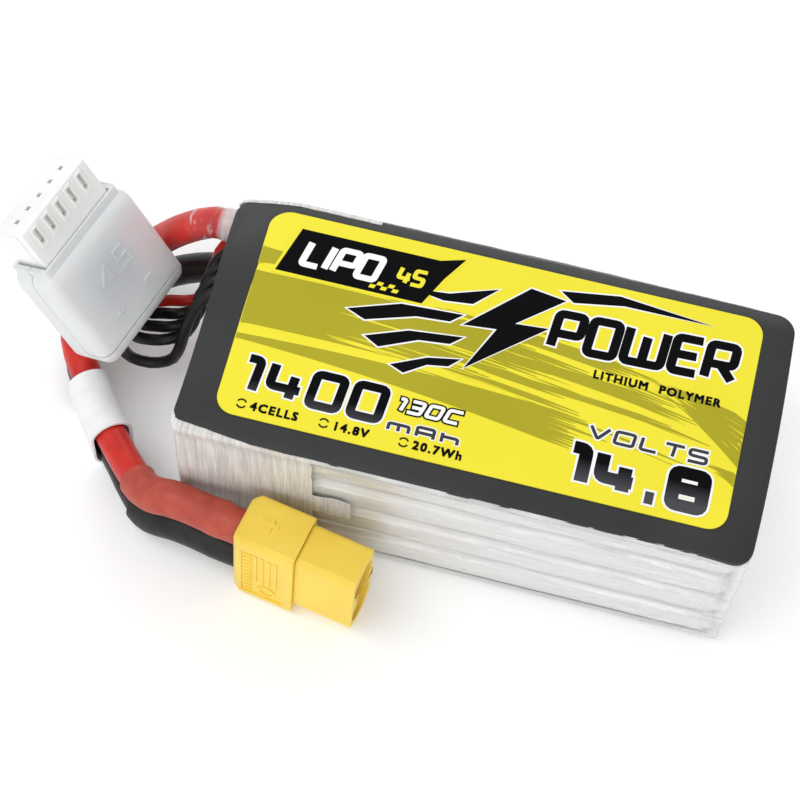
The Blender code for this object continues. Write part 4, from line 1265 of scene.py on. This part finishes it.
def frosted_material():
    """Milky soft plastic; the plug and wires inside are painted into its colour as a grey blur of shade and a
    pinkish blur of the red wire seen through.
    """
    g = Graph("frosted_clip", IOR=1.4, Specular_IOR_Level=0.5, Transmission_Weight=0.20, Subsurface_Weight=0.25,
              Subsurface_Scale=0.002)
    where = g.place()
    cloud = g.noise(where, 0.16, 3.0)
    grain = g.noise(where, 4.0, 4.0, 0.6)
    tone = g.mix(g.span(cloud, 0.3, 0.7), (0.86, 0.865, 0.87), (0.91, 0.91, 0.915))
    along, across = g.axis(where, "X"), g.axis(where, "Y")
    inside = g.math("MULTIPLY", g.span(along, -22.5, -17.0), g.span(along, -8.5, -12.0))
    away = g.math("ABSOLUTE", g.math("ADD", across, -1.0))
    # painted shade: a grey blur where the plug and dark wires inside would darken the plastic
    grey = g.math("MULTIPLY", g.span(away, 2.5, 7.0, 1.0, 0.0), inside)
    tone = g.mix(g.math("MULTIPLY", grey, g.span(cloud, 0.25, 0.6, 0.5, 1.0)), tone, (0.73, 0.75, 0.79))
    # painted see-through tint: a pinkish blur where the red wire inside would tint the plastic
    painted_see_through_pink = g.math("MULTIPLY", g.span(across, -2.5, -5.5), inside)
    tone = g.mix(g.math("MULTIPLY", painted_see_through_pink, 0.6), tone, (0.93, 0.74, 0.76))
    g.put("Base Color", tone)
    g.put("Roughness", g.span(grain, 0.3, 0.7, 0.40, 0.52))
    g.put("Normal", g.bump(grain, 0.15, 0.05))
    return g.mat


MATS["yellow"] = moulded("yellow_nylon", (0.86, 0.60, 0.065), (0.91, 0.66, 0.085), Specular_IOR_Level=0.45,
                         Subsurface_Weight=0.08, Subsurface_Scale=0.0008)
MATS["nylon"] = moulded("white_nylon", (0.85, 0.85, 0.84), (0.90, 0.90, 0.89), Specular_IOR_Level=0.4)
MATS["frosted"] = frosted_material()


def solid(name, low, high, edge=0.0, segments=3):
    """A box in its own local frame, for cutting and joining."""
    bm = bmesh.new()
    block(bm, low, high)
    bmesh.ops.recalc_face_normals(bm, faces=bm.faces)
    if edge:
        bmesh.ops.bevel(bm, geom=bm.edges[:], offset=edge * MM, segments=segments, profile=0.5, affect="EDGES",
                        clamp_overlap=True)
    return holder(name, bm)


def holder(name, bm):
    """A bare object for a bmesh, with no place in the model yet."""
    mesh = bpy.data.meshes.new(name)
    bmesh.ops.recalc_face_normals(bm, faces=bm.faces)
    bm.to_mesh(mesh)
    bm.free()
    obj = bpy.data.objects.new(name, mesh)
    link(obj)
    return obj


def bar(name, outline, low, high, axis="x"):
    """A prism over an outline; its height runs along the local x or y."""
    bm = bmesh.new()
    prism(bm, outline, low, high, lambda u, v, h: Vector((h, u, v) if axis == "x" else (u, h, v)) * MM)
    return holder(name, bm)


def cut(obj, low, high, edge=0.0, segments=3):
    """Take a box, with its edges rounded if edge is given, out of an object."""
    boolean(obj, solid("tool", low, high, edge, segments))


def fuse(obj, low, high):
    """Join a box to an object."""
    boolean(obj, solid("tool", low, high), "UNION")


def drill(obj, radius, sides, sign, start, end):
    """A round hole along x, at one of the connector's two sockets."""
    boolean(obj, bar("drill", circle(radius, sides, (0.0, sign * PIN_Z)), start, end))


def finish_solid(obj, mat, place, body="pack", replaces=(), bevel=0.12):
    """Put a cut or joined solid in its frame with fine edges."""
    bpy.context.scene.collection.objects.unlink(obj)
    obj.matrix_world = place
    bm = bmesh.new()
    bm.from_mesh(obj.data)
    bmesh.ops.remove_doubles(bm, verts=bm.verts, dist=0.000002)
    bmesh.ops.dissolve_limit(bm, angle_limit=math.radians(0.5), verts=bm.verts, edges=bm.edges)
    bm.to_mesh(obj.data)
    bm.free()
    round_edges(obj, bevel * MM, 2, 40)
    obj.data.shade_smooth()
    return add(obj, mat, body, replaces)


# ---- the power connector
CAP_END, CAP_HALF_Y, CAP_HALF_Z = 9.1, 3.9, 8.2
INSERT_START, INSERT_END, INSERT_HALF_Y, INSERT_HALF_Z = 9.15, 17.9, 3.3, 7.5
CUT_CORNER = 1.7


def shell(name, half_y, half_z, steps, flatten, stations):
    """A box along x whose section changes; a station is (x, inset, corner radius)."""
    bm = bmesh.new()
    loft(bm, [[Vector((x, y, z)) * MM
               for y, z in rounded_rect(half_y - inset, half_z - inset * flatten, radius, steps)]
              for x, inset, radius in stations])
    return holder(name, bm)


def build_cap():
    """The cap: it narrows towards the leads, has a bore for each, and is hollow behind the body."""
    cap = shell("connector_shell", CAP_HALF_Y, CAP_HALF_Z, 4, 1.0,
                ((0.0, 0.75, 0.75), (0.35, 0.45, 0.75), (1.1, 0.0, 0.75), (CAP_END, 0.0, 0.75)))
    for sign in (-1, 1):
        drill(cap, 3.15, 32, sign, -1.0, 5.5)
    cut(cap, (5.0, -2.9, -6.9), (CAP_END + 1, 2.9, 6.9))
    # the sunk panel on the wide side, with its raised ribs
    face = -CAP_HALF_Y
    cut(cap, (1.5, face - 1, -6.9), (7.6, face + 0.20, 5.6))
    for x in (3.6, 4.6, 5.6, 6.6):
        fuse(cap, (x - 0.16, face + 0.02, -3.0), (x + 0.16, face + 0.5, 5.2))
    for k in range(11):
        z = -6.1 + k * 1.08
        fuse(cap, (1.85, face + 0.04, z - 0.24), (3.0, face + 0.5, z + 0.2))
    ring = bar("ring", circle(1.35, 28, (5.3, -4.9)), face + 0.03, face + 0.5, "y")
    boolean(ring, bar("hole", circle(0.95, 28, (5.3, -4.9)), face - 1, face + 1, "y"))
    boolean(cap, ring, "UNION")
    # the signs on the two narrow sides
    for sign in (-1, 1):
        low, high = sorted((sign * (CAP_HALF_Z - 0.4), sign * (CAP_HALF_Z + 0.22)))
        fuse(cap, (2.95, -0.27, low), (5.25, 0.27, high))
        if sign > 0:
            fuse(cap, (3.83, -1.15, low), (4.37, 1.15, high))
    return finish_solid(cap, MATS["yellow"], CONNECTOR, "cap", ("connector_cap",), 0.10)


def build_housing():
    """The body: round corners at the positive end, cut off at the other, so that it mates one way round."""
    wide, tall = INSERT_HALF_Y, INSERT_HALF_Z
    section = [p for p in rounded_rect(wide, tall, 0.9, 4) if p[1] > 0]
    section += [(-wide, -tall + CUT_CORNER), (-wide + CUT_CORNER, -tall),
                (wide - CUT_CORNER, -tall), (wide, -tall + CUT_CORNER)]
    housing = bar("connector_front", section, INSERT_START, INSERT_END)
    fuse(housing, (INSERT_END - 3.0, 2.0, -1.0), (INSERT_END, wide + 0.45, 1.0))
    fuse(housing, (5.2, -2.7, -6.7), (INSERT_START + 1, 2.7, 6.7))
    for sign in (-1, 1):
        drill(housing, 2.36, 36, sign, 4.0, 17.0)
        drill(housing, 2.85, 36, sign, 15.9, 20.0)
    cut(housing, (15.4, -1.7, -0.62), (INSERT_END + 1, 5.0, 0.62))
    return finish_solid(housing, MATS["yellow"], CONNECTOR, "pack", ("connector_housing",), 0.14)


def build_contact(name, sign):
    """A turned socket: a bore from the mating end, and a solid back end with a collar."""
    profile = [(5.2, 1.2), (5.2, 2.1), (5.35, 2.22), (6.6, 2.22), (6.75, 2.0), (7.6, 2.0), (7.75, 2.25),
               (16.6, 2.25), (16.9, 2.1), (16.9, 1.95), (16.6, 1.75), (8.2, 1.75), (7.9, 1.2)]
    rings = [[Vector((x, y, z)) * MM for y, z in circle(radius, 36, (0.0, sign * PIN_Z))] for x, radius in profile]
    return lofted(name, rings, MATS["gold"], slot="gold_plate", replaces=(name.replace("socket", "contact"),),
                  place=CONNECTOR)


connector_pieces = [build_cap(), build_housing(), build_contact("socket_positive", 1),
                    build_contact("socket_negative", -1)]


# ---- the white sleeve round both leads
SLEEVE_ROUTE = ((-56.5, -5.0, 2.95), (-55.1, -7.0, 2.95), (-53.1, -9.8, 2.95), (-50.7, -12.6, 2.95))
SLEEVE_POINTS = 30
LEAD_STACK = 4.9                    # from the black lead's middle up to the red one's


def build_sleeve():
    """One flattened tube round both leads, with a lip at each end."""
    route = smooth_route([Vector(p) * MM for p in SLEEVE_ROUTE], SLEEVE_POINTS)

    def ring(index, radius, fold):
        here = route[index]
        run = route[min(index + 1, SLEEVE_POINTS - 1)] - route[max(index - 1, 0)]
        across = Vector((-run.y, run.x, 0)).normalized()
        points = []
        for start, height in ((0, LEAD_STACK), (math.pi, 0.0)):
            for step in range(17):
                angle = start + math.pi * step / 16
                flat = 1.0 + 0.05 * math.cos(angle) ** 2
                u, v = radius * flat * math.cos(angle), height + radius * math.sin(angle)
                place = here + across * u * MM + Vector((0, 0, v * MM))
                fine = noise.noise(Vector((place.x * 420, place.y * 420, place.z * 160)))
                ripple = noise.noise(Vector((index * 0.5, angle * 0.9 + height, 4.0)))
                push = fold * (0.10 * fine + 0.10 * ripple) * MM
                points.append(place + (across * math.cos(angle) + Vector((0, 0, math.sin(angle)))) * push)
        return points

    lips = (0, 1, SLEEVE_POINTS - 2, SLEEVE_POINTS - 1)
    outside = [ring(k, 2.82 + (0.10 if k in lips else 0.0), 1.0) for k in range(SLEEVE_POINTS)]
    inside = [ring(k, 2.54, 0.0) for k in range(SLEEVE_POINTS)]
    return lofted("paired_sleeve", outside + list(reversed(inside)), MATS["white"], "joined",
                  slot="white_shrink", replaces=("white_sleeve",))


sleeve = build_sleeve()


# ---- the balance plug
PLUG_LENGTH, PLUG_HALF_Y, PLUG_HALF_Z = 9.8, 7.4, 2.875


def build_plug():
    """The plug's body: a raised pad on each side, and each way's cheeks, cavity, pin hole and window."""
    wide, tall = PLUG_HALF_Y, PLUG_HALF_Z
    plug = solid("plug_body", (-PLUG_LENGTH, -wide + 0.25, -tall), (0, wide - 0.25, tall), 0.18, 2)
    for sign in (-1, 1):
        low, high = sorted((sign * (wide - 0.6), sign * wide))
        fuse(plug, (-5.4, low, -2.2), (-0.25, high, 1.7))
    for way in range(WAYS):
        y = plug_way_y(way) / MM
        fuse(plug, (-4.0, y - 0.72, tall - 0.3), (-0.55, y + 0.72, tall + 0.16))
        cut(plug, (-11.0, y - 0.85, -0.95), (-0.8, y + 0.85, 0.95))
        cut(plug, (-1.5, y - 0.36, -0.36), (1.0, y + 0.36, 0.36))
        cut(plug, (-3.5, y - 0.38, 0.0), (-0.9, y + 0.38, 5.0))
    return finish_solid(plug, MATS["nylon"], PLUG, "pack", ("balance_plug",), 0.06)


def build_terminal(way):
    """A folded crimp terminal with its latch tongue in the window."""
    y = plug_way_y(way) / MM
    bm = bmesh.new()
    for low, high in (((-7.0, y - 0.52, -0.60), (-0.95, y + 0.52, -0.42)),
                      ((-6.4, y - 0.62, -0.60), (-0.95, y - 0.46, 0.45)),
                      ((-6.4, y + 0.46, -0.60), (-0.95, y + 0.62, 0.45)),
                      ((-5.6, y - 0.30, 0.42), (-1.4, y + 0.30, 0.58)),
                      ((-3.3, y - 0.33, 0.50), (-1.1, y + 0.33, 2.25)),
                      ((-8.8, y - 0.72, -0.60), (-7.0, y + 0.72, -0.36)),
                      ((-8.8, y - 0.74, -0.60), (-7.4, y - 0.56, 0.62)),
                      ((-8.8, y + 0.56, -0.60), (-7.4, y + 0.74, 0.62))):
        block(bm, low, high)
    return mesh_piece(f"terminal_{way + 1}", bm, MATS["tin"], slot="tin_plate",
                      replaces=(f"balance_contact_{way + 1}",), place=PLUG, bevel=0.04 * MM)


# ---- the clip round the plug
CLIP_BACK, CLIP_FRONT, CLIP_WALL_X = -24.8, -6.3, -23.0
CLIP_HALF_Y, CLIP_HALF_Z = 9.3, 4.4


def clip_outside(name):
    """A pillow-sided box that narrows to a collar round the plug."""
    return shell(name, CLIP_HALF_Y, CLIP_HALF_Z, 5, 0.8,
                 ((CLIP_BACK, 1.0, 1.2), (CLIP_BACK + 0.35, 0.35, 1.5), (CLIP_BACK + 1.2, 0.0, 1.6),
                  (-15.0, 0.0, 1.6), (-9.4, 0.0, 1.6), (-8.2, 0.22, 1.5), (-7.6, 0.75, 1.0),
                  (-7.45, 0.95, 0.7), (CLIP_FRONT + 0.12, 0.95, 0.7), (CLIP_FRONT, 1.05, 0.6)))


def hollow(obj):
    """Room for the plug, with a little play, and for the wires behind it."""
    wide, tall = PLUG_HALF_Y + 0.12, PLUG_HALF_Z + 0.12
    cut(obj, (-10.6, -wide, -tall), (0.0, wide, tall))
    cut(obj, (CLIP_WALL_X, -8.0, -3.1), (-10.3, 8.0, 3.1), 0.8)


def emboss(obj):
    """The cell count and two small signs, raised on the lid; right is -y and up is x."""
    def mark(right, up, wide, high, turn=0):
        low, top = CLIP_HALF_Z - 0.3, CLIP_HALF_Z + 0.18
        made = solid("mark", (-high / 2, -wide / 2, low), (high / 2, wide / 2, top))
        spin = Matrix.Rotation(math.radians(turn), 4, "Z")
        made.data.transform(Matrix.Translation((up * MM, -right * MM, 0)) @ spin)
        boolean(obj, made, "UNION")

    # "4"
    mark(-1.0, -13.8, 0.34, 3.3)
    mark(-1.75, -14.7, 2.7, 0.34)
    mark(-2.0, -13.5, 0.34, 3.05, -38)
    # "S"
    for right, up, wide, high in ((2.2, -12.3, 2.1, 0.34), (2.2, -13.85, 2.1, 0.34), (2.2, -15.4, 2.1, 0.34),
                                  (1.2, -13.05, 0.34, 1.8), (3.2, -14.6, 0.34, 1.8)):
        mark(right, up, wide, high)
    # a plus and a minus near the wires
    mark(-3.4, -19.6, 1.7, 0.3)
    mark(-3.4, -19.6, 0.3, 1.7)
    mark(3.4, -19.6, 1.7, 0.3)


def build_clip():
    """The tray, with a mouth for the wires, and the lid, without the tray's back wall."""
    tray = clip_outside("clip_base")
    cut(tray, (CLIP_WALL_X, -20, -0.1), (0, 20, 9))
    hollow(tray)
    cut(tray, (-30, -5.8, -1.3), (CLIP_WALL_X + 0.1, 5.8, 1.3), 0.5, 2)
    lid = clip_outside("clip_lid")
    cut(lid, (-40, -20, -9), (5, 20, 0.1))
    cut(lid, (-40, -20, -9), (CLIP_WALL_X + 0.2, 20, 9))
    hollow(lid)
    emboss(lid)
    return (finish_solid(tray, MATS["frosted"], PLUG, "pack", ("clip_tray",), 0.10),
            finish_solid(lid, MATS["frosted"], PLUG, "clip_lid", ("clip_cover",), 0.10))


plug_pieces = [build_plug(), *(build_terminal(way) for way in range(WAYS)), *build_clip()]
